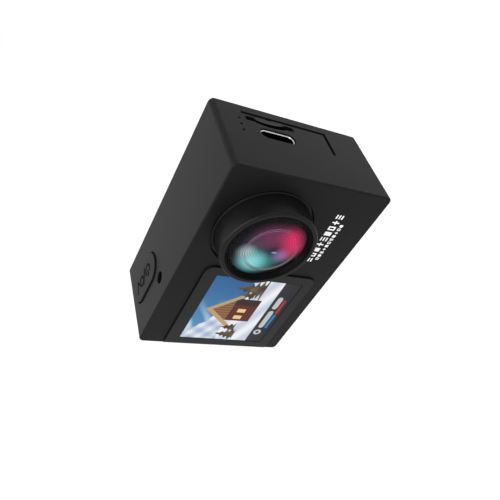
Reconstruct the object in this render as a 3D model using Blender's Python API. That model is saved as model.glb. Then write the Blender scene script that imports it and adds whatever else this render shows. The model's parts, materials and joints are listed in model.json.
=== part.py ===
"""Compact action camera with a front display, a rear touch display and a battery door underneath.

The lens looks along -Y, the ports are in the +X side, and the power button is on the +Z side.
The origin is the middle of the underside of the whole camera.
Sizes are in millimetres here, and become metres when a mesh is made.
"""
import math

import bmesh
import bpy
from mathutils import Vector

MM = 0.001

# Housing
BODY_WIDTH = 59.3
BODY_HEIGHT = 41.1
BODY_DEPTH = 23.55
CORNER_RADIUS = 1.3
RIM_RADIUS = 0.45
WALL = 2.0
FRONT_WALL = 1.8
RIM_WALL = 1.2
FIT = 0.2
SMALL_FIT = 0.1
PART_GAP = 0.15

# Lens
LENS_X = 13.6
LENS_Z = 26.4
LENS_PROUD = 5.75
LENS_RIM_RADIUS = 11.05
LENS_BASE_RADIUS = 11.3
LENS_HOLE_RADIUS = 12.0
LENS_SEGMENTS = 48

# Front panel and display
PANEL_RIGHT = 1.0
PANEL_LOW = 4.0
PANEL_HIGH = 34.5
PANEL_PROUD = 0.45
PANEL_SEAT = 1.0
PANEL_GAP = 0.15
PANEL_CORNER = 2.2
PANEL_ROLL = 1.1
PANEL_RIM = 0.25
FRONT_DISPLAY_X = (-26.7, -1.2)
FRONT_DISPLAY_Z = (6.6, 31.4)
FRONT_DISPLAY_THICK = 2.4

# Rear cover, glass and display
COVER_THICK = 2.3
SEAT_DEPTH = 2.75
GLASS_SIZE = (50.9, 32.9)
GLASS_THICK = 0.75
GLASS_POCKET = 0.9
WINDOW_SIZE = (45.0, 28.5)
REAR_DISPLAY_SIZE = (44.2, 27.9)
COVER_SCREW_X = 24.1
COVER_SCREW_RISE = 15.5

# Power button, its marking side and the round light beside it
BUTTON_SIZE = (15.4, 8.2)
BUTTON_CENTRE = (-18.9, 3.2)
BUTTON_RISE = 0.4
BUTTON_GAP = 0.25
BUTTON_TRAVEL = 0.4
LIGHT_CENTRE = (-11.0, -3.3)
LIGHT_RADIUS = 1.35
LIGHT_SUNK = 0.6

# Side button
MODE_SIZE = (4.0, 9.0)
MODE_CENTRE = (2.9, 27.0)
MODE_TRAVEL = 0.3

# Ports in the right side
USB_CENTRE = (5.3, 26.25)
USB_SIZE = (3.26, 8.94)
USB_DEPTH = 7.3
USB_SUNK = 0.3
CARD_CENTRE = (9.63, 27.1)
CARD_SIZE = (15.0, 0.75, 11.0)
CARD_SUNK = 1.6
CARD_SLOT = (1.5, 12.6)
GROOVE_WIDTH = 0.9
GROOVE_DEPTH = 1.0
GROOVE_Y = (3.4, 11.45)
GROOVE_Z = (11.4, 34.2)

# Battery, its bay and its door
HINGE_X = -24.0
HINGE_Z = 1.0
KNUCKLE_RADIUS = 0.85
PIN_RADIUS = 0.4
DOOR_RIGHT = 4.9
DOOR_Y = (-5.15, 6.95)
DOOR_LOW = 0.15
DOOR_HIGH = 1.6
BAY_X = (-25.3, 4.9)
BAY_Y = (-4.9, 6.7)
BAY_Z = (2.2, 34.2)
BAY_WALL = 0.8
LATCH_X = (0.8, 4.8)
LATCH_Z = (0.55, 1.05)
LATCH_HALF = 2.3
LATCH_TRAVEL = 1.2

# Boards
MAIN_BOARD_Y = (7.1, 7.95)
SENSOR_BOARD_Y = (3.95, 4.75)
BUTTON_BOARD_Z = (34.5, 35.2)
BOARD_SCREWS = ((24.8, 11.0), (8.0, 9.8))
SENSOR_SCREW_REACH = 6.3

HALF_WIDTH = BODY_WIDTH / 2
TOTAL_DEPTH = BODY_DEPTH + LENS_PROUD
LENS_FACE_Y = -TOTAL_DEPTH / 2
FRONT_Y = LENS_FACE_Y + LENS_PROUD
BACK_Y = TOTAL_DEPTH / 2
INNER_X = HALF_WIDTH - WALL
INNER_FRONT_Y = FRONT_Y + FRONT_WALL
INNER_CEILING = BODY_HEIGHT - WALL
MIDDLE_Z = BODY_HEIGHT / 2
LEDGE_Y = BACK_Y - SEAT_DEPTH
COVER_FRONT_Y = BACK_Y - COVER_THICK
GLASS_FLOOR_Y = BACK_Y - GLASS_POCKET
DOOR_MIDDLE_Y = (DOOR_Y[0] + DOOR_Y[1]) / 2

# Colour, roughness and metallic value of each finish
FINISHES = {
    "shell": ((0.030, 0.031, 0.033), 0.55, 0.0),
    "panel": ((0.020, 0.021, 0.024), 0.30, 0.0),
    "black_metal": ((0.022, 0.023, 0.025), 0.38, 0.0),
    "glass": ((0.55, 0.60, 0.64), 0.05, 0.0),
    "display": ((0.02, 0.03, 0.06), 0.15, 0.0),
    "steel": ((0.55, 0.56, 0.58), 0.30, 1.0),
    "aluminium": ((0.66, 0.67, 0.69), 0.35, 1.0),
    "brass": ((0.75, 0.58, 0.30), 0.30, 1.0),
    "rubber": ((0.012, 0.012, 0.012), 0.80, 0.0),
    "board": ((0.02, 0.10, 0.05), 0.45, 0.0),
    "chip": ((0.015, 0.015, 0.016), 0.40, 0.0),
    "inner_plastic": ((0.06, 0.06, 0.065), 0.60, 0.0),
    "battery_wrap": ((0.05, 0.05, 0.055), 0.50, 0.0),
}


def clear_scene():
    for item in list(bpy.data.objects):
        bpy.data.objects.remove(item, do_unlink=True)


def place(axis, u, v, w):
    """A point at w along the axis, and at u and v on the two other axes in X, Y, Z order."""
    if axis == "X":
        return Vector((w, u, v))
    if axis == "Y":
        return Vector((u, w, v))
    return Vector((u, v, w))


def rounded_outline(centre, width, height, radius, steps=4):
    """Points of a rounded rectangle, which is a circle when both sides are twice the radius."""
    corners = ((1, 1, 0), (-1, 1, 90), (-1, -1, 180), (1, -1, 270))
    points = []
    for side_u, side_v, start in corners:
        for step in range(steps + 1):
            angle = math.radians(start + 90 * step / steps)
            u = centre[0] + side_u * (width / 2 - radius) + radius * math.cos(angle)
            v = centre[1] + side_v * (height / 2 - radius) + radius * math.sin(angle)
            points.append((u, v))
    return points


def circle_outline(centre, radius, count=20):
    turn = 2 * math.pi / count
    return [(centre[0] + radius * math.cos(turn * i), centre[1] + radius * math.sin(turn * i))
            for i in range(count)]


def span_outline(span_u, span_v):
    """The four corners of a rectangle given by its spans."""
    return [(span_u[1], span_v[1]), (span_u[0], span_v[1]), (span_u[0], span_v[0]), (span_u[1], span_v[0])]


def add_loft(bm, rings, axis, closed=False):
    """Join outlines of equal length, each given with its place along the axis."""
    loops = [[bm.verts.new(place(axis, u, v, w)) for u, v in outline] for outline, w in rings]
    pairs = list(zip(loops, loops[1:]))
    if closed:
        pairs.append((loops[-1], loops[0]))
    faces = []
    for lower, upper in pairs:
        for i in range(len(lower)):
            following = (i + 1) % len(lower)
            faces.append(bm.faces.new((lower[i], lower[following], upper[following], upper[i])))
    if not closed:
        faces.append(bm.faces.new(loops[0]))
        faces.append(bm.faces.new(loops[-1]))
    bmesh.ops.recalc_face_normals(bm, faces=faces)
    return faces


def add_prism(bm, outline, axis, low, high):
    return add_loft(bm, [(outline, low), (outline, high)], axis)


def add_block(bm, x, y, z, bevel=0.0, segments=2):
    faces = add_prism(bm, span_outline(x, y), "Z", z[0], z[1])
    if bevel:
        edges = {edge for face in faces for edge in face.edges}
        bmesh.ops.bevel(bm, geom=list(edges), offset=bevel, segments=segments, profile=0.5,
                        affect="EDGES", clamp_overlap=True)


def bevel_rim(bm, level, width, segments):
    """Round the edges that lie at one place along Y."""
    edges = [edge for edge in bm.edges if all(abs(vert.co.y - level) < 0.01 for vert in edge.verts)]
    bmesh.ops.bevel(bm, geom=edges, offset=width, segments=segments, profile=0.5, affect="EDGES")


def add_cylinder(bm, axis, centre, radius, low, high, count=20):
    add_prism(bm, circle_outline(centre, radius, count), axis, low, high)


def add_turned(bm, profile, centre, closed, count=LENS_SEGMENTS, axis="Y"):
    """Turn a profile of (radius, place along the axis); a closed profile makes a ring."""
    if closed:
        rings = [(circle_outline(centre, radius, count), w) for radius, w in profile]
        add_loft(bm, rings, axis, closed=True)
        return
    rings = [(circle_outline(centre, radius, count), w) for radius, w in profile[1:-1]]
    faces = add_loft(bm, rings, axis)
    ends = faces[-2:]
    for face, (_, w) in zip(ends, (profile[0], profile[-1])):
        made = bmesh.ops.poke(bm, faces=[face])
        made["verts"][0].co = place(axis, centre[0], centre[1], w)


def new_material(name, finish):
    colour, roughness, metallic = FINISHES[finish]
    material = bpy.data.materials.new(name)
    material.use_nodes = True
    shader = material.node_tree.nodes["Principled BSDF"]
    shader.inputs["Base Color"].default_value = (*colour, 1.0)
    shader.inputs["Roughness"].default_value = roughness
    shader.inputs["Metallic"].default_value = metallic
    return material


def make_object(name, bm, origin=(0.0, 0.0, 0.0)):
    """Turn a mesh in millimetres into an object in metres with its origin at the given place."""
    bmesh.ops.recalc_face_normals(bm, faces=bm.faces)
    bmesh.ops.translate(bm, verts=bm.verts, vec=-Vector(origin))
    bmesh.ops.scale(bm, verts=bm.verts, vec=(MM, MM, MM))
    mesh = bpy.data.meshes.new(name)
    bm.to_mesh(mesh)
    bm.free()
    mesh.shade_smooth()
    mesh.set_sharp_from_angle(angle=math.radians(30))
    item = bpy.data.objects.new(name, mesh)
    item.location = Vector(origin) * MM
    bpy.context.scene.collection.objects.link(item)
    return item


def make_piece(name, bm, finish, origin=(0.0, 0.0, 0.0)):
    piece = make_object(name, bm, origin)
    piece.data.materials.append(new_material(name, finish))
    return piece


def shape_with(piece, label, bm, operation):
    """Cut a guide shape out of a piece, or join it on."""
    guide = make_object(f"{piece.name}_{label}", bm)
    guide.hide_render = True
    guide.display_type = "WIRE"
    modifier = piece.modifiers.new(label, "BOOLEAN")
    modifier.operation = operation
    modifier.solver = "EXACT"
    modifier.object = guide


def cover_screw_places():
    return [(side * COVER_SCREW_X, MIDDLE_Z + rise * COVER_SCREW_RISE)
            for side in (-1, 1) for rise in (-1, 1)]


def add_screw_posts(bm):
    """Corner blocks for the cover's screws and round posts for the main board's screws."""
    block_inner, block_outer = 22.5, INNER_X + 0.25
    block_y = (8.4, LEDGE_Y - SMALL_FIT)
    low_z, high_z = (WALL - 0.2, 7.2), (33.9, INNER_CEILING + 0.2)
    for span_x in ((block_inner, block_outer), (-block_outer, -block_inner)):
        for span_z in (low_z, high_z):
            add_block(bm, span_x, block_y, span_z)
    post_radius = 1.9
    for centre in BOARD_SCREWS:
        add_cylinder(bm, "Y", centre, post_radius, INNER_FRONT_Y - 0.3, MAIN_BOARD_Y[0] - FIT)


def add_screw_bores(bm):
    bore_radius = 0.7
    for centre in cover_screw_places():
        add_cylinder(bm, "Y", centre, bore_radius, 8.8, BACK_Y, 12)
    for centre in BOARD_SCREWS:
        add_cylinder(bm, "Y", centre, bore_radius, 1.0, BACK_Y, 12)


def add_front_openings(bm):
    """The panel's seat, which runs out through the left edge, and the hole for the lens barrel."""
    seat_low, seat_high = PANEL_LOW - PANEL_GAP, PANEL_HIGH + PANEL_GAP
    seat_right = PANEL_RIGHT + PANEL_GAP
    overshoot = 3.0
    width = seat_right + HALF_WIDTH + overshoot
    centre = (seat_right - width / 2, (seat_low + seat_high) / 2)
    outline = rounded_outline(centre, width, seat_high - seat_low, PANEL_CORNER + PANEL_GAP)
    add_prism(bm, outline, "Y", FRONT_Y - overshoot, FRONT_Y + PANEL_SEAT)
    add_cylinder(bm, "Y", (LENS_X, LENS_Z), LENS_HOLE_RADIUS, FRONT_Y - overshoot,
                 INNER_FRONT_Y + 1.0, LENS_SEGMENTS)


def add_display_window(bm):
    margin = 0.3
    window_x = (FRONT_DISPLAY_X[0] - margin, FRONT_DISPLAY_X[1] + margin)
    window_z = (FRONT_DISPLAY_Z[0] - margin, FRONT_DISPLAY_Z[1] + margin)
    add_block(bm, window_x, (FRONT_Y + 0.2, INNER_FRONT_Y + 1.0), window_z)


def add_top_openings(bm):
    hole = (BUTTON_SIZE[0] + 2 * BUTTON_GAP, BUTTON_SIZE[1] + 2 * BUTTON_GAP)
    outline = rounded_outline(BUTTON_CENTRE, hole[0], hole[1], hole[1] / 2, 6)
    add_prism(bm, outline, "Z", INNER_CEILING - 1.0, BODY_HEIGHT + 1.0)
    add_cylinder(bm, "Z", LIGHT_CENTRE, LIGHT_RADIUS + 0.15, INNER_CEILING - 1.0, BODY_HEIGHT + 1.0)


def add_left_opening(bm):
    hole = (MODE_SIZE[0] + 2 * 0.25, MODE_SIZE[1] + 2 * 0.25)
    outline = rounded_outline(MODE_CENTRE, hole[0], hole[1], hole[0] / 2)
    add_prism(bm, outline, "X", -HALF_WIDTH - 1.0, -INNER_X + 0.1)


def add_right_openings(bm):
    """The port openings, the three microphone holes and the L-shaped channel beside them."""
    inside, outside = INNER_X - 0.4, HALF_WIDTH + 1.0
    port = (USB_SIZE[0] + 2 * PART_GAP, USB_SIZE[1] + 2 * PART_GAP)
    add_prism(bm, rounded_outline(USB_CENTRE, port[0], port[1], port[0] / 2), "X", inside, outside)
    slot = rounded_outline(CARD_CENTRE, CARD_SLOT[0], CARD_SLOT[1], 0.3, 2)
    add_prism(bm, slot, "X", inside, outside)
    hole_radius, hole_z = 0.35, 35.25
    for hole_y in (4.4, 6.6, 8.8):
        add_cylinder(bm, "X", (hole_y, hole_z), hole_radius, INNER_X - 0.1, outside, 10)
    half = GROOVE_WIDTH / 2
    inner_corner = (GROOVE_Y[1] - half, GROOVE_Z[0] + half)
    outer_corner = (GROOVE_Y[1] + half, GROOVE_Z[0] - half)
    channel = [(inner_corner[0], GROOVE_Z[1]), inner_corner, (GROOVE_Y[0], inner_corner[1]),
               (GROOVE_Y[0], outer_corner[1]), outer_corner, (outer_corner[0], GROOVE_Z[1])]
    add_prism(bm, channel, "X", HALF_WIDTH - GROOVE_DEPTH, outside)


def add_card_scoop(bm):
    """A shallow thumb scoop across the middle of the card slot."""
    half_sizes = Vector((0.8, 1.55, 4.75))
    made = bmesh.ops.create_uvsphere(bm, u_segments=24, v_segments=12, radius=1.0)
    centre = Vector((HALF_WIDTH, CARD_CENTRE[0] - 0.15, CARD_CENTRE[1]))
    bmesh.ops.scale(bm, verts=made["verts"], vec=half_sizes)
    bmesh.ops.translate(bm, verts=made["verts"], vec=centre)


def add_bottom_openings(bm):
    """The battery opening, the slots in front of the speaker and the latch's catch pocket."""
    side = 0.25
    opening_x = (HINGE_X - KNUCKLE_RADIUS - FIT, DOOR_RIGHT + 0.4)
    add_block(bm, opening_x, (DOOR_Y[0] - side, DOOR_Y[1] + side), (-1.0, WALL + 0.1))
    slot_count, slot_pitch, first_x = 5, 2.2, 11.4
    for index in range(slot_count):
        slot_centre = (first_x + index * slot_pitch, 0.0)
        outline = rounded_outline(slot_centre, 0.9, 6.0, 0.45, 2)
        add_prism(bm, outline, "Z", -1.0, WALL + 0.1)


def add_latch_pocket(bm):
    gap = SMALL_FIT
    pocket_x = (DOOR_RIGHT, LATCH_X[1] + LATCH_TRAVEL + 0.5)
    pocket_y = (DOOR_MIDDLE_Y - LATCH_HALF - 2 * gap, DOOR_MIDDLE_Y + LATCH_HALF + 2 * gap)
    add_block(bm, pocket_x, pocket_y, (LATCH_Z[0] - gap, LATCH_Z[1] + gap))
    add_cylinder(bm, "Y", (HINGE_X, HINGE_Z), PIN_RADIUS + 0.1, DOOR_Y[0] - 2.2, DOOR_Y[1] + 2.2, 12)


def make_shell():
    bm = bmesh.new()
    outline = rounded_outline((0.0, MIDDLE_Z), BODY_WIDTH, BODY_HEIGHT, CORNER_RADIUS)
    add_prism(bm, outline, "Y", FRONT_Y, BACK_Y)
    bevel_rim(bm, FRONT_Y, RIM_RADIUS, 3)
    bevel_rim(bm, BACK_Y, RIM_RADIUS, 2)
    shell = make_piece("body_shell", bm, "shell")
    cavity = bmesh.new()
    add_block(cavity, (-INNER_X, INNER_X), (INNER_FRONT_Y, BACK_Y + 2.0), (WALL, INNER_CEILING))
    shape_with(shell, "cavity", cavity, "DIFFERENCE")
    seat = bmesh.new()
    outline = rounded_outline((0.0, MIDDLE_Z), BODY_WIDTH - 2 * RIM_WALL, BODY_HEIGHT - 2 * RIM_WALL, 1.2)
    add_prism(seat, outline, "Y", LEDGE_Y, BACK_Y + 2.0)
    shape_with(shell, "cover_seat", seat, "DIFFERENCE")
    posts = bmesh.new()
    add_screw_posts(posts)
    shape_with(shell, "posts", posts, "UNION")
    steps = (("bores", add_screw_bores), ("front", add_front_openings), ("window", add_display_window),
             ("top", add_top_openings), ("left", add_left_opening), ("right", add_right_openings),
             ("scoop", add_card_scoop), ("bottom", add_bottom_openings), ("latch", add_latch_pocket))
    for label, add_shapes in steps:
        guide = bmesh.new()
        add_shapes(guide)
        shape_with(shell, label, guide, "DIFFERENCE")


def make_front_panel():
    """The raised cover over the front display, which rolls over the left edge of the housing."""
    front = FRONT_Y - PANEL_PROUD
    back = FRONT_Y + PANEL_SEAT - SMALL_FIT
    width = PANEL_RIGHT + HALF_WIDTH
    height = PANEL_HIGH - PANEL_LOW
    centre = (PANEL_RIGHT - width / 2, PANEL_LOW + height / 2)
    rounded = rounded_outline(centre, width, height, PANEL_CORNER)
    quarter = len(rounded) // 4
    square_end = [(-HALF_WIDTH, PANEL_HIGH), (-HALF_WIDTH, PANEL_LOW)]
    outline = rounded[:quarter] + square_end + rounded[3 * quarter:]
    bm = bmesh.new()
    add_prism(bm, outline, "Y", front, back)
    near = 0.01
    front_edges = [edge for edge in bm.edges if all(vert.co.y < front + near for vert in edge.verts)]
    roll = [edge for edge in front_edges if all(vert.co.x < near - HALF_WIDTH for vert in edge.verts)]
    rim = [edge for edge in front_edges if edge not in roll]
    bmesh.ops.bevel(bm, geom=roll, offset=PANEL_ROLL, segments=4, profile=0.5, affect="EDGES")
    rim = [edge for edge in rim if edge.is_valid]
    bmesh.ops.bevel(bm, geom=rim, offset=PANEL_RIM, segments=1, profile=0.5, affect="EDGES")
    make_piece("front_panel", bm, "panel")


def make_front_display():
    bm = bmesh.new()
    near = FRONT_Y + PANEL_SEAT + SMALL_FIT
    add_block(bm, FRONT_DISPLAY_X, (near, near + FRONT_DISPLAY_THICK), FRONT_DISPLAY_Z, 0.2, 1)
    make_piece("front_display", bm, "display")


def make_lens_barrel():
    chamfer = 0.3
    flange_y = (INNER_FRONT_Y + FIT, INNER_FRONT_Y + 1.3)
    ledge_y = (LENS_FACE_Y + 2.25, LENS_FACE_Y + 2.65)
    bore_radius, ledge_radius, seat_radius, flange_radius = 8.9, 7.9, 9.9, 12.55
    profile = [(LENS_RIM_RADIUS - chamfer, LENS_FACE_Y), (LENS_RIM_RADIUS, LENS_FACE_Y + chamfer),
               (LENS_BASE_RADIUS, FRONT_Y - 0.4), (LENS_BASE_RADIUS, flange_y[0]),
               (flange_radius, flange_y[0]), (flange_radius, flange_y[1]), (bore_radius, flange_y[1]),
               (bore_radius, ledge_y[1]), (ledge_radius, ledge_y[1]), (ledge_radius, ledge_y[0]),
               (seat_radius, ledge_y[0]), (seat_radius, LENS_FACE_Y)]
    bm = bmesh.new()
    add_turned(bm, profile, (LENS_X, LENS_Z), True)
    make_piece("lens_barrel", bm, "black_metal")


def make_lens_cover():
    """The ring that holds the cover glass, the glass itself and the ring seal at the barrel's foot."""
    front = LENS_FACE_Y + 0.35
    back = LENS_FACE_Y + 1.15
    ring = bmesh.new()
    profile = [(9.4, front), (9.75, front), (9.75, back), (8.1, back), (8.1, back - 0.15)]
    add_turned(ring, profile, (LENS_X, LENS_Z), True)
    make_piece("lens_retaining_ring", ring, "black_metal")
    glass = bmesh.new()
    glass_y = (back + SMALL_FIT, back + SMALL_FIT + 0.9)
    add_cylinder(glass, "Y", (LENS_X, LENS_Z), 9.6, glass_y[0], glass_y[1], LENS_SEGMENTS)
    make_piece("cover_glass", glass, "glass")
    seal = bmesh.new()
    outer, inner = LENS_HOLE_RADIUS - SMALL_FIT, LENS_BASE_RADIUS + SMALL_FIT
    seal_y = (FRONT_Y + 0.7, FRONT_Y + 1.6)
    profile = [(inner, seal_y[0]), (outer, seal_y[0]), (outer, seal_y[1]), (inner, seal_y[1])]
    add_turned(seal, profile, (LENS_X, LENS_Z), True)
    make_piece("lens_seal", seal, "rubber")


def dome(radius, edge_y, apex_y, steps=4):
    """Profile points from the axis out to the edge of a spherical surface."""
    rise = edge_y - apex_y
    sphere = (radius * radius + rise * rise) / (2 * abs(rise))
    side = 1 if rise > 0 else -1
    points = []
    for step in range(steps + 1):
        r = radius * step / steps
        points.append((r, apex_y + side * (sphere - math.sqrt(sphere * sphere - r * r))))
    return points


def make_lens_element(name, radius, front_apex, front_edge, back_edge, back_apex):
    front = dome(radius, front_edge, front_apex)
    back = dome(radius, back_edge, back_apex)
    bm = bmesh.new()
    add_turned(bm, front + back[::-1], (LENS_X, LENS_Z), False, 32)
    make_piece(name, bm, "glass")


def make_lens_tube():
    bm = bmesh.new()
    profile = [(7.6, -10.8), (8.6, -10.8), (8.6, -4.6), (6.0, -4.6), (6.0, 1.0), (4.4, 1.0),
               (4.4, -3.4), (3.6, -3.4), (3.6, -5.2), (5.4, -5.2), (5.4, -8.7), (7.6, -8.7)]
    add_turned(bm, profile, (LENS_X, LENS_Z), True)
    make_piece("lens_tube", bm, "black_metal")
    make_lens_element("front_lens_element", 7.45, -11.8, -9.7, -8.85, -9.9)
    make_lens_element("middle_lens_element", 5.2, -8.2, -7.3, -5.6, -6.4)
    make_lens_element("rear_lens_element", 4.2, -3.0, -2.2, -1.0, -0.2)


def sensor_screw_places():
    return [(LENS_X + side * SENSOR_SCREW_REACH, LENS_Z - side * SENSOR_SCREW_REACH) for side in (-1, 1)]


def make_lens_holder():
    half, front, step, back = 7.5, -1.0, 1.3, SENSOR_BOARD_Y[0] - FIT
    bm = bmesh.new()
    add_block(bm, (LENS_X - half, LENS_X + half), (front, back), (LENS_Z - half, LENS_Z + half))
    holder = make_piece("lens_holder", bm, "inner_plastic")
    bore = bmesh.new()
    add_cylinder(bore, "Y", (LENS_X, LENS_Z), 6.2, front - 1.0, step + 0.1, 32)
    shape_with(holder, "tube_bore", bore, "DIFFERENCE")
    room = bmesh.new()
    add_block(room, (LENS_X - 5.75, LENS_X + 5.75), (step, back + 1.0), (LENS_Z - 5.0, LENS_Z + 5.0))
    shape_with(holder, "sensor_room", room, "DIFFERENCE")
    holes = bmesh.new()
    for centre in sensor_screw_places():
        add_cylinder(holes, "Y", centre, 0.6, 1.4, back + 1.0, 12)
    shape_with(holder, "screw_holes", holes, "DIFFERENCE")


def make_image_sensor():
    blocks = (("infrared_filter", 5.25, 4.5, (1.5, 1.9), "glass"),
              ("image_sensor", 4.8, 4.0, (2.9, SENSOR_BOARD_Y[0] - SMALL_FIT), "chip"))
    for name, half_x, half_z, span_y, finish in blocks:
        bm = bmesh.new()
        add_block(bm, (LENS_X - half_x, LENS_X + half_x), span_y, (LENS_Z - half_z, LENS_Z + half_z))
        make_piece(name, bm, finish)
    bm = bmesh.new()
    half = 8.2
    outline = rounded_outline((LENS_X, LENS_Z), 2 * half, 2 * half, 0.8, 2)
    add_prism(bm, outline, "Y", SENSOR_BOARD_Y[0], SENSOR_BOARD_Y[1])
    board = make_piece("sensor_board", bm, "board")
    holes = bmesh.new()
    for centre in sensor_screw_places():
        add_cylinder(holes, "Y", centre, 0.7, SENSOR_BOARD_Y[0] - 1.0, SENSOR_BOARD_Y[1] + 1.0, 12)
    shape_with(board, "screw_holes", holes, "DIFFERENCE")


def make_screw(name, centre, shaft_end, head_y, head_radius, shaft_radius):
    """A screw driven towards -Y, with a six-sided driver socket in its head."""
    head = circle_outline(centre, head_radius, 12)
    shaft = circle_outline(centre, shaft_radius, 12)
    socket = circle_outline(centre, head_radius * 0.5, 12)
    socket_floor = head_y[0] + (head_y[1] - head_y[0]) * 0.5
    bm = bmesh.new()
    add_loft(bm, [(shaft, shaft_end), (shaft, head_y[0]), (head, head_y[0]), (head, head_y[1]),
                  (socket, head_y[1]), (socket, socket_floor)], "Y")
    make_piece(name, bm, "steel")


def make_screws():
    for index, centre in enumerate(cover_screw_places(), 1):
        head_y = (GLASS_FLOOR_Y - 0.55, GLASS_FLOOR_Y - 0.05)
        make_screw(f"cover_screw_{index}", centre, 9.1, head_y, 1.0, 0.6)
    behind = MAIN_BOARD_Y[1] + SMALL_FIT
    for index, centre in enumerate(BOARD_SCREWS, 1):
        make_screw(f"board_screw_{index}", centre, 2.0, (behind, behind + 0.65), 1.2, 0.55)
    behind = SENSOR_BOARD_Y[1] + SMALL_FIT
    for index, centre in enumerate(sensor_screw_places(), 1):
        make_screw(f"sensor_screw_{index}", centre, 1.7, (behind, behind + 0.6), 1.1, 0.5)


def make_main_board():
    """The board is narrower at its top and bottom, where it passes between the screw blocks."""
    wide, narrow = 27.1, 22.0
    low, step_low, step_high, high = 3.0, 7.7, 33.4, 37.6
    outline = [(wide, step_high), (narrow, step_high), (narrow, high), (-narrow, high),
               (-narrow, step_high), (-wide, step_high), (-wide, step_low), (-narrow, step_low),
               (-narrow, low), (narrow, low), (narrow, step_low), (wide, step_low)]
    bm = bmesh.new()
    add_prism(bm, outline, "Y", MAIN_BOARD_Y[0], MAIN_BOARD_Y[1])
    board = make_piece("main_board", bm, "board")
    holes = bmesh.new()
    for centre in BOARD_SCREWS:
        add_cylinder(holes, "Y", centre, 0.75, MAIN_BOARD_Y[0] - 1.0, MAIN_BOARD_Y[1] + 1.0, 12)
    shape_with(board, "screw_holes", holes, "DIFFERENCE")


def make_board_parts():
    behind = MAIN_BOARD_Y[1] + SMALL_FIT
    blocks = (("processor", (-12.0, 0.0), (behind, 9.3), (16.0, 28.0), "chip"),
              ("memory_chip", (1.4, 6.2), (behind, 9.0), (16.5, 26.5), "chip"),
              ("heat_spreader", (-24.0, 10.0), (10.4, 11.0), (9.0, 32.0), "aluminium"),
              ("board_connector", (10.0, 17.2), (SENSOR_BOARD_Y[1] + PART_GAP, MAIN_BOARD_Y[0] - PART_GAP),
               (21.0, 23.5), "inner_plastic"))
    for name, span_x, span_y, span_z, finish in blocks:
        bm = bmesh.new()
        add_block(bm, span_x, span_y, span_z)
        make_piece(name, bm, finish)
    can_wall, can_x, can_y, can_z = 0.3, (-15.0, 7.6), (behind, 10.2), (13.0, 31.0)
    bm = bmesh.new()
    add_block(bm, can_x, can_y, can_z)
    can = make_piece("shield_can", bm, "steel")
    room = bmesh.new()
    add_block(room, (can_x[0] + can_wall, can_x[1] - can_wall), (can_y[0] - 1.0, can_y[1] - can_wall),
              (can_z[0] + can_wall, can_z[1] - can_wall))
    shape_with(can, "room", room, "DIFFERENCE")


def make_usb_port():
    """A metal socket open at the side of the housing, with the contact tongue inside it."""
    metal = 0.3
    mouth = HALF_WIDTH - USB_SUNK
    back = mouth - USB_DEPTH
    outer = rounded_outline(USB_CENTRE, USB_SIZE[0], USB_SIZE[1], USB_SIZE[0] / 2, 5)
    inner_size = (USB_SIZE[0] - 2 * metal, USB_SIZE[1] - 2 * metal)
    inner = rounded_outline(USB_CENTRE, inner_size[0], inner_size[1], inner_size[0] / 2, 5)
    bm = bmesh.new()
    add_loft(bm, [(outer, back), (outer, mouth), (inner, mouth), (inner, back + 2 * metal)], "X")
    make_piece("usb_socket", bm, "steel")
    tongue = bmesh.new()
    outline = rounded_outline(USB_CENTRE, 0.7, 6.7, 0.2, 1)
    add_prism(tongue, outline, "X", back + 2 * metal + 0.1, mouth - 1.2)
    make_piece("usb_tongue", tongue, "inner_plastic")


def make_card_socket():
    y, z = CARD_CENTRE
    left, right = 11.5, INNER_X - PART_GAP
    card_end = HALF_WIDTH - CARD_SUNK
    card_start = card_end - CARD_SIZE[0]
    bm = bmesh.new()
    add_block(bm, (left, right), (y - 1.25, y + 1.15), (z - 6.5, z + 6.5))
    socket = make_piece("card_socket", bm, "steel")
    channel = bmesh.new()
    add_block(channel, (card_start - 0.8, right + 1.0), (y - 0.5, y + 0.5), (z - 5.7, z + 5.7))
    shape_with(socket, "channel", channel, "DIFFERENCE")
    card = bmesh.new()
    half_z = CARD_SIZE[2] / 2
    notch = 1.4
    notch_x = card_start + 3.0
    outline = [(card_end, z + half_z), (notch_x, z + half_z), (notch_x - notch, z + half_z - notch),
               (card_start, z + half_z - notch), (card_start, z - half_z), (card_end, z - half_z)]
    add_prism(card, outline, "Y", y - CARD_SIZE[1] / 2, y + CARD_SIZE[1] / 2)
    make_piece("memory_card", card, "chip", (card_end, y, z))


def make_battery():
    gap = 0.3
    inner_x = (BAY_X[0] + BAY_WALL, BAY_X[1] - BAY_WALL)
    inner_y = (BAY_Y[0] + BAY_WALL, BAY_Y[1] - BAY_WALL)
    inner_top = BAY_Z[1] - BAY_WALL
    bm = bmesh.new()
    add_block(bm, BAY_X, BAY_Y, BAY_Z)
    bay = make_piece("battery_bay", bm, "inner_plastic")
    room = bmesh.new()
    add_block(room, inner_x, inner_y, (BAY_Z[0] - 1.0, inner_top))
    shape_with(bay, "room", room, "DIFFERENCE")
    contact_x, contact_y = (-14.0, -4.0), (-0.5, 2.5)
    slot = bmesh.new()
    add_block(slot, (contact_x[0] - gap, contact_x[1] + gap), (contact_y[0] - gap, contact_y[1] + gap),
              (inner_top - 1.0, BAY_Z[1] + 1.0))
    shape_with(bay, "contact_slot", slot, "DIFFERENCE")
    battery = bmesh.new()
    add_block(battery, (inner_x[0] + gap, inner_x[1] - gap), (inner_y[0] + gap, inner_y[1] - gap),
              (DOOR_HIGH + 0.75, inner_top - 1.0), 0.8, 2)
    make_piece("battery", battery, "battery_wrap")
    contacts = bmesh.new()
    add_block(contacts, contact_x, contact_y, (inner_top - 0.7, BUTTON_BOARD_Z[0] - PART_GAP))
    make_piece("battery_contacts", contacts, "brass")


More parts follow.
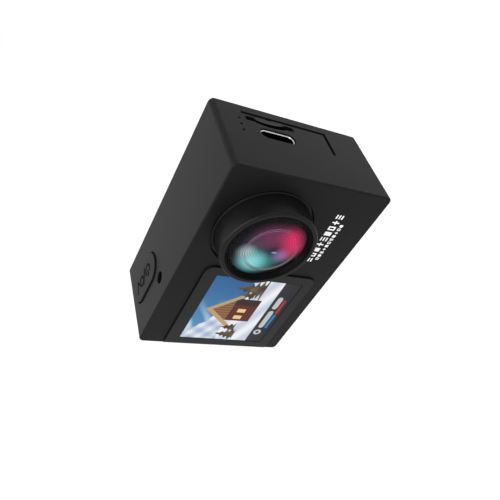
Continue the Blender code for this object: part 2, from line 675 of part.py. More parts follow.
def make_battery_door():
    """The door, with a round knuckle along its hinge side, and a channel for its sliding latch."""
    start = math.asin((DOOR_HIGH - HINGE_Z) / KNUCKLE_RADIUS)
    finish = math.radians(270)
    steps = 10
    knuckle = []
    for step in range(steps + 1):
        angle = start + (finish - start) * step / steps
        knuckle_x = HINGE_X + KNUCKLE_RADIUS * math.cos(angle)
        knuckle.append((knuckle_x, HINGE_Z + KNUCKLE_RADIUS * math.sin(angle)))
    outline = [(DOOR_RIGHT, DOOR_HIGH)] + knuckle + [(DOOR_RIGHT, DOOR_LOW)]
    bm = bmesh.new()
    add_prism(bm, outline, "Y", DOOR_Y[0], DOOR_Y[1])
    door = make_piece("battery_door", bm, "shell", (HINGE_X, 0.0, HINGE_Z))
    bore = bmesh.new()
    add_cylinder(bore, "Y", (HINGE_X, HINGE_Z), PIN_RADIUS + 0.1, DOOR_Y[0] - 1.0, DOOR_Y[1] + 1.0, 12)
    shape_with(door, "pin_bore", bore, "DIFFERENCE")
    channel = bmesh.new()
    channel_half = LATCH_HALF + 0.2
    add_block(channel, (LATCH_X[0] - 0.4, DOOR_RIGHT + 1.0),
              (DOOR_MIDDLE_Y - channel_half, DOOR_MIDDLE_Y + channel_half), (-1.0, LATCH_Z[1] + 0.1))
    shape_with(door, "latch_channel", channel, "DIFFERENCE")
    pin = bmesh.new()
    add_cylinder(pin, "Y", (HINGE_X, HINGE_Z), PIN_RADIUS, DOOR_Y[0] - 2.0, DOOR_Y[1] + 2.0, 12)
    make_piece("door_hinge_pin", pin, "steel")


def make_door_fittings():
    """The rubber seal on the door's inner face, and the latch with two thumb ridges."""
    seal_x, seal_y = (-23.0, 3.9), (-4.0, 5.8)
    low, high = 1.7, 2.15
    seal_width = 0.8
    size = (seal_x[1] - seal_x[0], seal_y[1] - seal_y[0])
    centre = ((seal_x[0] + seal_x[1]) / 2, (seal_y[0] + seal_y[1]) / 2)
    outer = rounded_outline(centre, size[0], size[1], 1.5, 3)
    inner = rounded_outline(centre, size[0] - 2 * seal_width, size[1] - 2 * seal_width, 0.7, 3)
    seal = bmesh.new()
    add_loft(seal, [(outer, low), (outer, high), (inner, high), (inner, low)], "Z", True)
    make_piece("door_seal", seal, "rubber", (HINGE_X, 0.0, HINGE_Z))
    ridge_low, ridge_width = 0.25, 0.6
    latch_low, latch_high = LATCH_Z
    outline = [(LATCH_X[0], latch_high), (LATCH_X[0], latch_low)]
    for ridge_x in (1.4, 2.8):
        ridge_end = ridge_x + ridge_width
        outline += [(ridge_x, latch_low), (ridge_x, ridge_low)]
        outline += [(ridge_end, ridge_low), (ridge_end, latch_low)]
    outline += [(LATCH_X[1], latch_low), (LATCH_X[1], latch_high)]
    latch = bmesh.new()
    add_prism(latch, outline, "Y", DOOR_MIDDLE_Y - LATCH_HALF, DOOR_MIDDLE_Y + LATCH_HALF)
    make_piece("door_latch", latch, "inner_plastic", (LATCH_X[0], DOOR_MIDDLE_Y, LATCH_Z[0]))


def make_power_button():
    """An obround button with a flange that keeps it in the housing and a stem over its switch."""
    switch_top = 37.4
    stem_low, stem_radius = switch_top + BUTTON_TRAVEL + 0.1, 1.6
    flange_z = (INNER_CEILING - 0.8, INNER_CEILING - 0.3)
    top = BODY_HEIGHT + BUTTON_RISE
    width, height = BUTTON_SIZE
    steps = 6

    def obround(grow):
        return rounded_outline(BUTTON_CENTRE, width + 2 * grow, height + 2 * grow, height / 2 + grow, steps)

    stem = rounded_outline(BUTTON_CENTRE, 2 * stem_radius, 2 * stem_radius, stem_radius, steps)
    bm = bmesh.new()
    add_loft(bm, [(stem, stem_low), (stem, flange_z[0]), (obround(1.0), flange_z[0]),
                  (obround(1.0), flange_z[1]), (obround(0.0), flange_z[1]), (obround(0.0), top - 0.4),
                  (obround(-0.12), top - 0.12), (obround(-0.45), top)], "Z")
    make_piece("power_button", bm, "shell", (BUTTON_CENTRE[0], BUTTON_CENTRE[1], top))
    body_top = 36.9
    half, plunger_radius = 3.0, 1.7
    square = rounded_outline(BUTTON_CENTRE, 2 * half, 2 * half, 0.6, 3)
    plunger = circle_outline(BUTTON_CENTRE, plunger_radius, len(square))
    switch = bmesh.new()
    above = BUTTON_BOARD_Z[1] + PART_GAP
    add_loft(switch, [(square, above), (square, body_top), (plunger, body_top), (plunger, switch_top)], "Z")
    make_piece("power_switch", switch, "steel")


def make_button_board():
    bm = bmesh.new()
    add_block(bm, (-26.5, -8.5), (-5.0, 6.6), BUTTON_BOARD_Z)
    make_piece("button_board", bm, "board")
    led_low = BUTTON_BOARD_Z[1] + PART_GAP
    led_high = led_low + 0.8
    x, y = LIGHT_CENTRE
    led = bmesh.new()
    add_block(led, (x - 1.0, x + 1.0), (y - 0.8, y + 0.8), (led_low, led_high))
    make_piece("status_led", led, "inner_plastic")
    light = bmesh.new()
    top = BODY_HEIGHT - LIGHT_SUNK
    profile = [(0.0, led_high + PART_GAP), (LIGHT_RADIUS, led_high + PART_GAP), (LIGHT_RADIUS, top - 0.2),
               (LIGHT_RADIUS - 0.2, top), (0.0, top)]
    add_turned(light, profile, LIGHT_CENTRE, False, 20, "Z")
    make_piece("status_light", light, "panel")


def make_mode_button():
    """A small pill-shaped button in the left side, with its switch behind it."""
    face = -HALF_WIDTH + 0.05
    flange_x = (-INNER_X + 0.2, -INNER_X + 0.5)
    stem_x = flange_x[1] + 0.2
    depth, height = MODE_SIZE
    steps = 4

    def pill(grow):
        return rounded_outline(MODE_CENTRE, depth + 2 * grow, height + 2 * grow, depth / 2 + grow, steps)

    stem = rounded_outline(MODE_CENTRE, 1.6, 1.6, 0.8, steps)
    bm = bmesh.new()
    add_loft(bm, [(pill(-0.35), face), (pill(0.0), face + 0.25), (pill(0.0), flange_x[0]),
                  (pill(0.7), flange_x[0]), (pill(0.7), flange_x[1]), (stem, flange_x[1]),
                  (stem, stem_x)], "X")
    make_piece("mode_button", bm, "shell", (face, *MODE_CENTRE))
    y, z = MODE_CENTRE
    switch_x = (stem_x + MODE_TRAVEL + PART_GAP, BAY_X[0] - 0.2)
    switch = bmesh.new()
    add_block(switch, switch_x, (y - 1.9, y + 1.9), (z - 1.9, z + 1.9))
    make_piece("mode_switch", switch, "steel")


def make_sound_parts():
    speaker = bmesh.new()
    add_block(speaker, (9.8, 21.8), (-4.5, 4.5), (WALL + 0.3, 5.9), 0.5, 2)
    make_piece("speaker", speaker, "inner_plastic")
    microphone = bmesh.new()
    add_block(microphone, (INNER_X - 2.0, INNER_X - 0.2), (4.1, 8.1), (34.1, 36.6))
    make_piece("side_microphone", microphone, "steel")


def make_rear_cover():
    centre = (0.0, MIDDLE_Z)
    width = BODY_WIDTH - 2 * RIM_WALL - 2 * FIT
    height = BODY_HEIGHT - 2 * RIM_WALL - 2 * FIT
    bm = bmesh.new()
    add_prism(bm, rounded_outline(centre, width, height, 1.0), "Y", COVER_FRONT_Y, BACK_Y)
    cover = make_piece("rear_cover", bm, "shell")
    pocket = bmesh.new()
    pocket_gap = 0.25
    outline = rounded_outline(centre, GLASS_SIZE[0] + 2 * pocket_gap, GLASS_SIZE[1] + 2 * pocket_gap, 2.0)
    add_prism(pocket, outline, "Y", GLASS_FLOOR_Y, BACK_Y + 1.0)
    shape_with(cover, "glass_pocket", pocket, "DIFFERENCE")
    window = bmesh.new()
    add_prism(window, rounded_outline(centre, *WINDOW_SIZE, 0.5, 2), "Y", COVER_FRONT_Y - 1.0, BACK_Y)
    shape_with(cover, "window", window, "DIFFERENCE")
    holes = bmesh.new()
    for place_xz in cover_screw_places():
        add_cylinder(holes, "Y", place_xz, 0.8, COVER_FRONT_Y - 1.0, GLASS_FLOOR_Y - 0.2, 12)
    shape_with(cover, "screw_holes", holes, "DIFFERENCE")
    head_rooms = bmesh.new()
    for place_xz in cover_screw_places():
        add_cylinder(head_rooms, "Y", place_xz, 1.15, GLASS_FLOOR_Y - 0.65, BACK_Y, 16)
    shape_with(cover, "head_rooms", head_rooms, "DIFFERENCE")


def make_rear_parts():
    centre = (0.0, MIDDLE_Z)
    glass = bmesh.new()
    glass_y = (GLASS_FLOOR_Y + SMALL_FIT, GLASS_FLOOR_Y + SMALL_FIT + GLASS_THICK)
    outer = rounded_outline(centre, *GLASS_SIZE, 1.75)
    edge = 0.15
    inner = rounded_outline(centre, GLASS_SIZE[0] - 2 * edge, GLASS_SIZE[1] - 2 * edge, 1.75 - edge)
    add_loft(glass, [(outer, glass_y[0]), (outer, glass_y[1] - edge), (inner, glass_y[1])], "Y")
    make_piece("rear_glass", glass, "glass")
    display = bmesh.new()
    half_x, half_z = REAR_DISPLAY_SIZE[0] / 2, REAR_DISPLAY_SIZE[1] / 2
    add_block(display, (-half_x, half_x), (GLASS_FLOOR_Y - 2.15, GLASS_FLOOR_Y - 0.05),
              (MIDDLE_Z - half_z, MIDDLE_Z + half_z), 0.2, 1)
    make_piece("rear_display", display, "display")
    gasket = bmesh.new()
    outer_gap, gasket_width = 0.15, 0.5
    width = BODY_WIDTH - 2 * RIM_WALL - 2 * outer_gap
    height = BODY_HEIGHT - 2 * RIM_WALL - 2 * outer_gap
    outer = rounded_outline(centre, width, height, 1.0)
    inner = rounded_outline(centre, width - 2 * gasket_width, height - 2 * gasket_width, 0.5)
    low, high = LEDGE_Y + 0.05, COVER_FRONT_Y - 0.05
    add_loft(gasket, [(outer, low), (outer, high), (inner, high), (inner, low)], "Y", True)
    make_piece("rear_gasket", gasket, "rubber")


def main():
    clear_scene()
    make_shell()
    make_front_panel()
    make_front_display()
    make_lens_barrel()
    make_lens_cover()
    make_lens_tube()
    make_lens_holder()
    make_image_sensor()
    make_main_board()
    make_board_parts()
    make_screws()
    make_usb_port()
    make_card_socket()
    make_battery()
    make_battery_door()
    make_door_fittings()
    make_power_button()
    make_button_board()
    make_mode_button()
    make_sound_parts()
    make_rear_cover()
    make_rear_parts()


main()
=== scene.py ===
import json
import math

import bmesh
import bpy
import numpy as np
from mathutils import Matrix, Vector


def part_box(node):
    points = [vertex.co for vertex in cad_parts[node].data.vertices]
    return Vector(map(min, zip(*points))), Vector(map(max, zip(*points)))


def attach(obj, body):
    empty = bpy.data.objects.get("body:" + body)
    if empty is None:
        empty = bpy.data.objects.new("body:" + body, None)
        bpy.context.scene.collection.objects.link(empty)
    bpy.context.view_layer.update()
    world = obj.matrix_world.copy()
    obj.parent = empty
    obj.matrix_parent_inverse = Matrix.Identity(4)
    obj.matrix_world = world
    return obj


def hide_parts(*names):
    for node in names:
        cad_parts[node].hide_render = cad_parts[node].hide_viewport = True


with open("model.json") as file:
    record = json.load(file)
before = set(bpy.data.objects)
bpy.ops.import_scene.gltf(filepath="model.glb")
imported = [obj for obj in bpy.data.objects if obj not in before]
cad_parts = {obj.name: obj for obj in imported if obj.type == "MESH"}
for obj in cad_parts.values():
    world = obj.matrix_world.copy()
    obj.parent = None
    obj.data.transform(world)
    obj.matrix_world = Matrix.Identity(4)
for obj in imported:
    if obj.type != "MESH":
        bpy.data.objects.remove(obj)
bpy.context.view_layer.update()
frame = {"nodes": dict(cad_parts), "record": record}
mm = 0.001

shellLow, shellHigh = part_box("body_shell")
panelLow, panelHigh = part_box("front_panel")
barrelLow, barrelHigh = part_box("lens_barrel")
buttonLow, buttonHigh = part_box("power_button")
lensX = (barrelLow.x + barrelHigh.x) / 2
lensZ = (barrelLow.z + barrelHigh.z) / 2
buttonHalf = (7.7 * mm, 4.1 * mm)
print("stage: frame loaded", len(frame["nodes"]), "nodes")


def pickOnly(piece):
    bpy.ops.object.select_all(action="DESELECT")
    piece.select_set(True)
    bpy.context.view_layer.objects.active = piece


def openEdit(piece):
    pickOnly(piece)
    bpy.ops.object.mode_set(mode="EDIT")


def closeEdit():
    bpy.ops.object.mode_set(mode="OBJECT")


# Put the piece's place into its mesh and leave its object at the origin.
def settle(piece):
    pickOnly(piece)
    bpy.ops.object.transform_apply(location=True, rotation=True, scale=True)
    return piece


def tidyNormals(piece):
    openEdit(piece)
    bpy.ops.mesh.select_all(action="SELECT")
    bpy.ops.mesh.remove_doubles(threshold=0.000001)
    bpy.ops.mesh.normals_make_consistent(inside=False)
    closeEdit()
    return piece


# In edit mode, select the faces whose middle and normal pass the test.
def selectFaces(piece, wanted):
    editMesh = bmesh.from_edit_mesh(piece.data)
    bpy.ops.mesh.select_all(action="DESELECT")
    bpy.ops.mesh.select_mode(type="FACE")
    for face in editMesh.faces:
        face.select = wanted(face.calc_center_median(), face.normal)
    editMesh.select_flush_mode()
    bmesh.update_edit_mesh(piece.data)


# In edit mode, select the edges whose two ends pass the test.
def selectEdges(piece, wanted):
    editMesh = bmesh.from_edit_mesh(piece.data)
    bpy.ops.mesh.select_all(action="DESELECT")
    bpy.ops.mesh.select_mode(type="EDGE")
    for edge in editMesh.edges:
        edge.select = wanted(edge.verts[0].co, edge.verts[1].co)
    editMesh.select_flush_mode()
    bmesh.update_edit_mesh(piece.data)


def boxPiece(name, low, high):
    low, high = Vector(low), Vector(high)
    bpy.ops.object.select_all(action="DESELECT")
    bpy.ops.mesh.primitive_cube_add(size=1, location=(low + high) / 2, scale=high - low)
    piece = bpy.context.object
    piece.name = name
    return settle(piece)


def bevelEdges(piece, wanted, radius, segments):
    openEdit(piece)
    selectEdges(piece, wanted)
    bpy.ops.mesh.bevel(offset=radius, segments=segments, profile=0.5, affect="EDGES", clamp_overlap=True)
    closeEdit()


# A test for edges that run along one axis.
def along(axis):
    def test(a, b):
        return abs((b - a).normalized()[axis]) > 0.99
    return test


# A test for edges that lie in a plane across one axis.
def atLevel(axis, level):
    def test(a, b):
        return abs(a[axis] - level) < 0.00002 and abs(b[axis] - level) < 0.00002
    return test


# A rounded plate: a box whose corner edges along the axis are rounded, then its rims.
# Each rim is (level along the axis, radius, segments).
def slabPiece(name, low, high, axis, corner, cornerSteps, rims=()):
    piece = boxPiece(name, low, high)
    bevelEdges(piece, along(axis), corner, cornerSteps)
    tidyNormals(piece)
    for level, radius, segments in rims:
        bevelEdges(piece, atLevel(axis, level), radius, segments)
    return piece


# Round each corner of a profile with a short curve.
def softCorners(profile, radius, steps=3, closed=False):
    points = [Vector(p) for p in profile]
    count = len(points)
    result = []
    for index, point in enumerate(points):
        if not closed and index in (0, count - 1):
            result.append(tuple(point))
            continue
        before, after = points[index - 1], points[(index + 1) % count]
        reach = min(radius, (before - point).length * 0.45, (after - point).length * 0.45)
        start = point + (before - point).normalized() * reach
        end = point + (after - point).normalized() * reach
        for step in range(steps + 1):
            t = step / steps
            spot = start * (1 - t) ** 2 + point * 2 * t * (1 - t) + end * t ** 2
            result.append(tuple(spot))
    return result


turns = {"X": (0, math.radians(90), 0), "Y": (math.radians(-90), 0, 0), "Z": (0, 0, 0)}


# Draw a ring, then extrude and resize it along a profile of (radius, place along the axis).
def turnedPiece(name, profile, centre, axis="Y", count=96, closed=True):
    bpy.ops.object.select_all(action="DESELECT")
    firstRadius, firstPlace = profile[0]
    bpy.ops.mesh.primitive_circle_add(vertices=count, radius=firstRadius, fill_type="NOTHING",
                                      location=(0, 0, firstPlace))
    piece = bpy.context.object
    piece.name = name
    settle(piece)
    openEdit(piece)
    bpy.ops.mesh.select_mode(type="VERT")  # the ring has no faces yet, so face mode would pick nothing
    bpy.ops.mesh.select_all(action="SELECT")
    steps = profile[1:] + ([profile[0]] if closed else [])
    radius, place = profile[0]
    for nextRadius, nextPlace in steps:
        bpy.ops.mesh.extrude_region_move()
        grow = nextRadius / radius
        bpy.ops.transform.resize(value=(grow, grow, 1), center_override=(0, 0, place))
        bpy.ops.transform.translate(value=(0, 0, nextPlace - place))
        radius, place = nextRadius, nextPlace
    if not closed:
        bpy.ops.mesh.select_all(action="DESELECT")
        bpy.ops.mesh.select_mode(type="EDGE")
        bpy.ops.mesh.select_non_manifold()
        bpy.ops.mesh.fill_holes(sides=0)
    closeEdit()
    piece.rotation_euler = turns[axis]
    if axis == "Y":
        piece.location = (centre[0], 0, centre[1])
    elif axis == "X":
        piece.location = (0, centre[0], centre[1])
    else:
        piece.location = (centre[0], centre[1], 0)
    settle(piece)
    return tidyNormals(piece)


# Cut the tools out of a piece, or join them on, and throw the tools away.
def boolPiece(piece, tools, operation="DIFFERENCE"):
    for tool in tools:
        pickOnly(piece)
        modifier = piece.modifiers.new("bool", "BOOLEAN")
        modifier.operation = operation
        modifier.solver = "EXACT"
        modifier.object = tool
        bpy.ops.object.modifier_apply(modifier=modifier.name)
        bpy.data.objects.remove(tool, do_unlink=True)


def smooth(piece, angle=32, weighted=True):
    pickOnly(piece)
    bpy.ops.object.shade_smooth_by_angle(angle=math.radians(angle))
    if weighted:
        modifier = piece.modifiers.new("weighted", "WEIGHTED_NORMAL")
        modifier.keep_sharp = True
        bpy.ops.object.modifier_apply(modifier=modifier.name)
    return piece


def finishPiece(piece, material, body, nodes=()):
    piece.data.materials.clear()
    piece.data.materials.append(material)
    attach(piece, body)
    if nodes:
        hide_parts(*nodes)
    return piece


def newMaterial(name, colour, roughness, metallic=0.0, specular=0.5):
    material = bpy.data.materials.new(name)
    material.use_nodes = True
    tree = material.node_tree
    shader = tree.nodes["Principled BSDF"]
    shader.inputs["Base Color"].default_value = (*colour, 1)
    shader.inputs["Roughness"].default_value = roughness
    shader.inputs["Metallic"].default_value = metallic
    shader.inputs["Specular IOR Level"].default_value = specular
    return material, tree, shader


# Link a socket to what feeds it, or set it to a plain value.
def feed(tree, socket, value):
    if isinstance(value, bpy.types.NodeSocket):
        tree.links.new(value, socket)
    else:
        socket.default_value = value


def objectCoords(tree):
    return tree.nodes.new("ShaderNodeTexCoord").outputs["Object"]


# Coordinates moved, turned or scaled by the named inputs of a Mapping node.
def mapped(tree, coords, kind="POINT", **settings):
    node = tree.nodes.new("ShaderNodeMapping")
    node.vector_type = kind
    for name, value in settings.items():
        node.inputs[name].default_value = value
    tree.links.new(coords, node.inputs["Vector"])
    return node.outputs["Vector"]


# Object coordinates measured from the lens axis.
def lensCoords(tree):
    return mapped(tree, objectCoords(tree), Location=(-lensX, 0, -lensZ))


def axisParts(tree, coords):
    parts = tree.nodes.new("ShaderNodeSeparateXYZ")
    tree.links.new(coords, parts.inputs[0])
    return parts.outputs


# One step of arithmetic on numbers.
def mathNode(tree, operation, *values):
    node = tree.nodes.new("ShaderNodeMath")
    node.operation = operation
    for socket, value in zip(node.inputs, values):
        feed(tree, socket, value)
    return node.outputs[0]


# One step of arithmetic on vectors, where a length or a product gives a number.
def vectorNode(tree, operation, *values):
    node = tree.nodes.new("ShaderNodeVectorMath")
    node.operation = operation
    for socket, value in zip(node.inputs, values):
        feed(tree, socket, value)
    return node.outputs["Value" if operation in ("LENGTH", "DOT_PRODUCT") else "Vector"]


def noiseNode(tree, coords, scale, detail=2.0):
    noise = tree.nodes.new("ShaderNodeTexNoise")
    noise.inputs["Scale"].default_value = scale
    noise.inputs["Detail"].default_value = detail
    tree.links.new(coords, noise.inputs["Vector"])
    return noise.outputs["Fac"]


# Rings turned about the Y axis.
def ringWave(tree, coords, scale, distortion=0.0):
    rings = tree.nodes.new("ShaderNodeTexWave")
    rings.wave_type = "RINGS"
    rings.rings_direction = "Y"
    rings.inputs["Scale"].default_value = scale
    rings.inputs["Distortion"].default_value = distortion
    tree.links.new(coords, rings.inputs["Vector"])
    return rings.outputs["Fac"]


def mapRange(tree, value, fromLow, fromHigh, toLow, toHigh):
    node = tree.nodes.new("ShaderNodeMapRange")
    limits = {"From Min": fromLow, "From Max": fromHigh, "To Min": toLow, "To Max": toHigh}
    for name, limit in limits.items():
        node.inputs[name].default_value = limit
    tree.links.new(value, node.inputs["Value"])
    return node.outputs["Result"]


# Roughness that wanders with a noise between two values.
def varyRoughness(tree, shader, noise, low, high):
    feed(tree, shader.inputs["Roughness"], mapRange(tree, noise, 0.3, 0.7, low, high))


def mixColours(tree, factor, colourA, colourB):
    node = tree.nodes.new("ShaderNodeMix")
    node.data_type = "RGBA"
    feed(tree, node.inputs[0], factor)
    for socket, value in ((node.inputs[6], colourA), (node.inputs[7], colourB)):
        feed(tree, socket, (*value, 1) if isinstance(value, tuple) else value)
    return node.outputs[2]


def addBump(tree, shader, height, strength, distance):
    bump = tree.nodes.new("ShaderNodeBump")
    bump.inputs["Strength"].default_value = strength
    bump.inputs["Distance"].default_value = distance
    tree.links.new(height, bump.inputs["Height"])
    tree.links.new(bump.outputs["Normal"], shader.inputs["Normal"])


mouldedSettings = {"grainScale": 9000, "mottleScale": 140, "bump": 0.22, "bumpDepth": 0.00003}


# Dark moulded plastic: fine spark-eroded grain, faint mottling in colour and gloss.
def mouldedPlastic(name, colour, roughness, spread=0.12, specular=0.085):
    material, tree, shader = newMaterial(name, colour, roughness, specular=specular)
    coords = objectCoords(tree)
    grain = noiseNode(tree, coords, mouldedSettings["grainScale"], 3)
    mottle = noiseNode(tree, coords, mouldedSettings["mottleScale"], 4)
    darker = tuple(c * (1 - spread) for c in colour)
    lighter = tuple(c * (1 + spread) for c in colour)
    feed(tree, shader.inputs["Base Color"], mixColours(tree, mottle, darker, lighter))
    varyRoughness(tree, shader, grain, roughness - 0.06, roughness + 0.08)
    addBump(tree, shader, grain, mouldedSettings["bump"], mouldedSettings["bumpDepth"])
    return material


# Painted shade in holes and channels, darker with depth; a painted highlight in the thumb scoop.
recessSettings = {
    "start": 0.30 * mm, "end": 0.75 * mm,      # depths over which a wall turns dark
    "paintedShadeColour": (0.002, 0.002, 0.002), "specular": 0.02,
    "scoopPaintedHighlight": (0.042, 0.042, 0.043),
    "scoopHalf": (0.8 * mm, 1.55 * mm, 4.75 * mm), "scoopShift": -0.15 * mm,
}


# Paint shade on the walls of holes and channels, darker by their depth inside the housing's box,
# except in the thumb scoop, which gets a painted highlight: a lighter colour on its lit wall.
def shadeRecesses(material):
    tree = material.node_tree
    shader = tree.nodes["Principled BSDF"]
    coords = objectCoords(tree)
    fromMiddle = vectorNode(tree, "SUBTRACT", coords, (shellLow + shellHigh) / 2)
    size = vectorNode(tree, "ABSOLUTE", fromMiddle)
    outward = axisParts(tree, vectorNode(tree, "SUBTRACT", size, (shellHigh - shellLow) / 2))
    nearest = mathNode(tree, "MAXIMUM", outward["X"], outward["Y"])
    nearest = mathNode(tree, "MAXIMUM", nearest, outward["Z"])
    depth = mapRange(tree, nearest, -recessSettings["start"], -recessSettings["end"], 0.0, 1.0)
    cardLow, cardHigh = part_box("memory_card")
    middle = (cardLow + cardHigh) / 2
    inScoop = mapped(tree, coords, "TEXTURE", Scale=recessSettings["scoopHalf"],
                     Location=(shellHigh.x, middle.y + recessSettings["scoopShift"], middle.z))
    length = vectorNode(tree, "LENGTH", inScoop)
    depth = mathNode(tree, "MULTIPLY", depth, mapRange(tree, length, 1.05, 1.12, 0.0, 1.0))
    inside = mapRange(tree, length, 1.01, 1.03, 1.0, 0.0)
    plain = shader.inputs["Base Color"].links[0].from_socket
    # Painted highlight on the thumb scoop, then painted shade over it by depth, with less gloss deeper in.
    lit = mixColours(tree, inside, plain, recessSettings["scoopPaintedHighlight"])
    feed(tree, shader.inputs["Base Color"], mixColours(tree, depth, lit, recessSettings["paintedShadeColour"]))
    shine = shader.inputs["Specular IOR Level"]
    feed(tree, shine, mapRange(tree, depth, 0.0, 1.0, shine.default_value, recessSettings["specular"]))
    return material


# Anodised metal with very fine turning lines round the lens axis.
def blackMetal(name, colour, roughness, specular=0.12):
    material, tree, shader = newMaterial(name, colour, roughness, specular=specular)
    mottle = noiseNode(tree, objectCoords(tree), 900, 3)
    varyRoughness(tree, shader, mottle, roughness - 0.05, roughness + 0.07)
    addBump(tree, shader, ringWave(tree, lensCoords(tree), 4200, 0.6), 0.08, 0.00002)
    return material


# Metal with long fine streaks along X.
def brushedMetal(name, colour, roughness, stretch=(400, 9000, 9000)):
    material, tree, shader = newMaterial(name, colour, roughness, 1.0)
    streaks = noiseNode(tree, mapped(tree, objectCoords(tree), Scale=stretch), 1.0, 2)
    varyRoughness(tree, shader, streaks, roughness - 0.08, roughness + 0.12)
    lighter = tuple(min(1.0, c * 1.08) for c in colour)
    darker = tuple(c * 0.86 for c in colour)
    feed(tree, shader.inputs["Base Color"], mixColours(tree, streaks, darker, lighter))
    return material


def rubberMaterial(name):
    material, tree, shader = newMaterial(name, (0.010, 0.010, 0.010), 0.75)
    grain = noiseNode(tree, objectCoords(tree), 5000, 3)
    varyRoughness(tree, shader, grain, 0.62, 0.85)
    addBump(tree, shader, grain, 0.3, 0.00002)
    return material


# Solder mask over faint copper traces that run along X and Z.
def boardMaterial(name):
    material, tree, shader = newMaterial(name, (0.010, 0.060, 0.032), 0.35)
    bricks = tree.nodes.new("ShaderNodeTexBrick")
    bricks.inputs["Scale"].default_value = 420
    bricks.inputs["Mortar Size"].default_value = 0.035
    bricks.inputs["Color1"].default_value = (0.008, 0.050, 0.028, 1)
    bricks.inputs["Color2"].default_value = (0.012, 0.070, 0.036, 1)
    bricks.inputs["Mortar"].default_value = (0.030, 0.140, 0.070, 1)
    flat = mapped(tree, objectCoords(tree), Rotation=(math.radians(90), 0, 0))
    feed(tree, bricks.inputs["Vector"], flat)
    feed(tree, shader.inputs["Base Color"], bricks.outputs["Color"])
    addBump(tree, shader, bricks.outputs["Fac"], 0.2, 0.00004)
    return material


shellPlastic = shadeRecesses(mouldedPlastic("shellPlastic", (0.0056, 0.0056, 0.0057), 0.44))
buttonPlastic = mouldedPlastic("buttonPlastic", (0.0052, 0.0052, 0.0053), 0.42, specular=0.07)
panelPlastic = mouldedPlastic("panelPlastic", (0.0060, 0.0060, 0.0062), 0.30, specular=0.13)
innerPlastic = mouldedPlastic("innerPlastic", (0.055, 0.055, 0.060), 0.55)
chipPlastic = mouldedPlastic("chipPlastic", (0.016, 0.016, 0.017), 0.42)
batteryFilm = mouldedPlastic("batteryFilm", (0.050, 0.052, 0.058), 0.38)
barrelMetal = blackMetal("barrelMetal", (0.0036, 0.0036, 0.0037), 0.34)
innerRingMetal = blackMetal("innerRingMetal", (0.0014, 0.0014, 0.0015), 0.36, 0.03)
steelMetal = brushedMetal("steelMetal", (0.62, 0.63, 0.65), 0.28)
aluminiumMetal = brushedMetal("aluminiumMetal", (0.68, 0.69, 0.70), 0.34)
brassMetal = brushedMetal("brassMetal", (0.80, 0.62, 0.32), 0.25)
# Near-black metal for the card socket: painted shade inside the card slot.
socketShadeMetal = brushedMetal("socketShadeMetal", (0.05, 0.05, 0.052), 0.40)
contactMetal = brushedMetal("contactMetal", (0.10, 0.08, 0.05), 0.35)
blackRubber = rubberMaterial("blackRubber")
greenBoard = boardMaterial("greenBoard")
markPaint = mouldedPlastic("markPaint", (0.0012, 0.0012, 0.0013), 0.50, specular=0.015)
deepBlack = mouldedPlastic("deepBlack", (0.0020, 0.0020, 0.0022), 0.50, specular=0.03)
printPaint = mouldedPlastic("printPaint", (0.85, 0.85, 0.85), 0.45, 0.03)
print("stage: materials made")


cameraSettings = {
    "place": (0.0856, -0.0921, 0.0888),
    "right": (0.4296, -0.2462, -0.8688),
    "up": (0.6742, 0.7275, 0.1273),
    "back": (0.6007, -0.6405, 0.4785),
    "lens": 40.97,
    "sensor": 36.0,
}


def makeCamera():
    data = bpy.data.cameras.new("viewCamera")
    data.lens = cameraSettings["lens"]
    data.sensor_width = cameraSettings["sensor"]
    data.clip_start = 0.001
    camera = bpy.data.objects.new("viewCamera", data)
    bpy.context.scene.collection.objects.link(camera)
    axes = [Vector(cameraSettings[key]).normalized() for key in ("right", "up", "back")]
    turn = Matrix(axes).transposed().to_4x4()
    camera.matrix_world = Matrix.Translation(cameraSettings["place"]) @ turn
    bpy.context.scene.camera = camera


lightSettings = {
    "world": 1.0,
    # name, strength, apparent size in degrees, and the way to the light
    "suns": (("topLight", 4.0, 75, (0.1, -0.30, 0.95)), ("sideLight", 0.3, 25, (0.9, -0.35, 0.12))),
    "floorSize": 16.0, "floorLevel": -0.35,  # low enough to throw no shadow in view
    "floorColour": (0.48, 0.48, 0.48),
}


def makeStage():
    world = bpy.data.worlds.new("studio")
    world.use_nodes = True
    background = world.node_tree.nodes["Background"]
    background.inputs["Color"].default_value = (1, 1, 1, 1)
    background.inputs["Strength"].default_value = lightSettings["world"]
    bpy.context.scene.world = world
    for name, strength, angle, direction in lightSettings["suns"]:
        sunData = bpy.data.lights.new(name, "SUN")
        sunData.energy = strength
        sunData.angle = math.radians(angle)
        sun = bpy.data.objects.new(name, sunData)
        bpy.context.scene.collection.objects.link(sun)
        sun.rotation_mode = "QUATERNION"
        sun.rotation_quaternion = Vector(direction).to_track_quat("Z", "Y")
    bpy.ops.object.select_all(action="DESELECT")
    bpy.ops.mesh.primitive_plane_add(size=lightSettings["floorSize"],
                                     location=(0, 0, lightSettings["floorLevel"]))
    floor = bpy.context.object
    floor.name = "floor"
    pale = newMaterial("paleFloor", lightSettings["floorColour"], 0.9, specular=0.1)[0]
    floor.data.materials.append(pale)
    bpy.context.scene.view_settings.view_transform = "Standard"


makeCamera()
makeStage()
print("stage: camera, light and floor made")


housingSettings = {
    "corner": 1.3 * mm, "frontRim": 0.45 * mm, "backRim": 0.5 * mm,
    "wall": 2.0 * mm, "frontWall": 1.8 * mm, "rim": 1.2 * mm, "lip": 0.12 * mm,
}


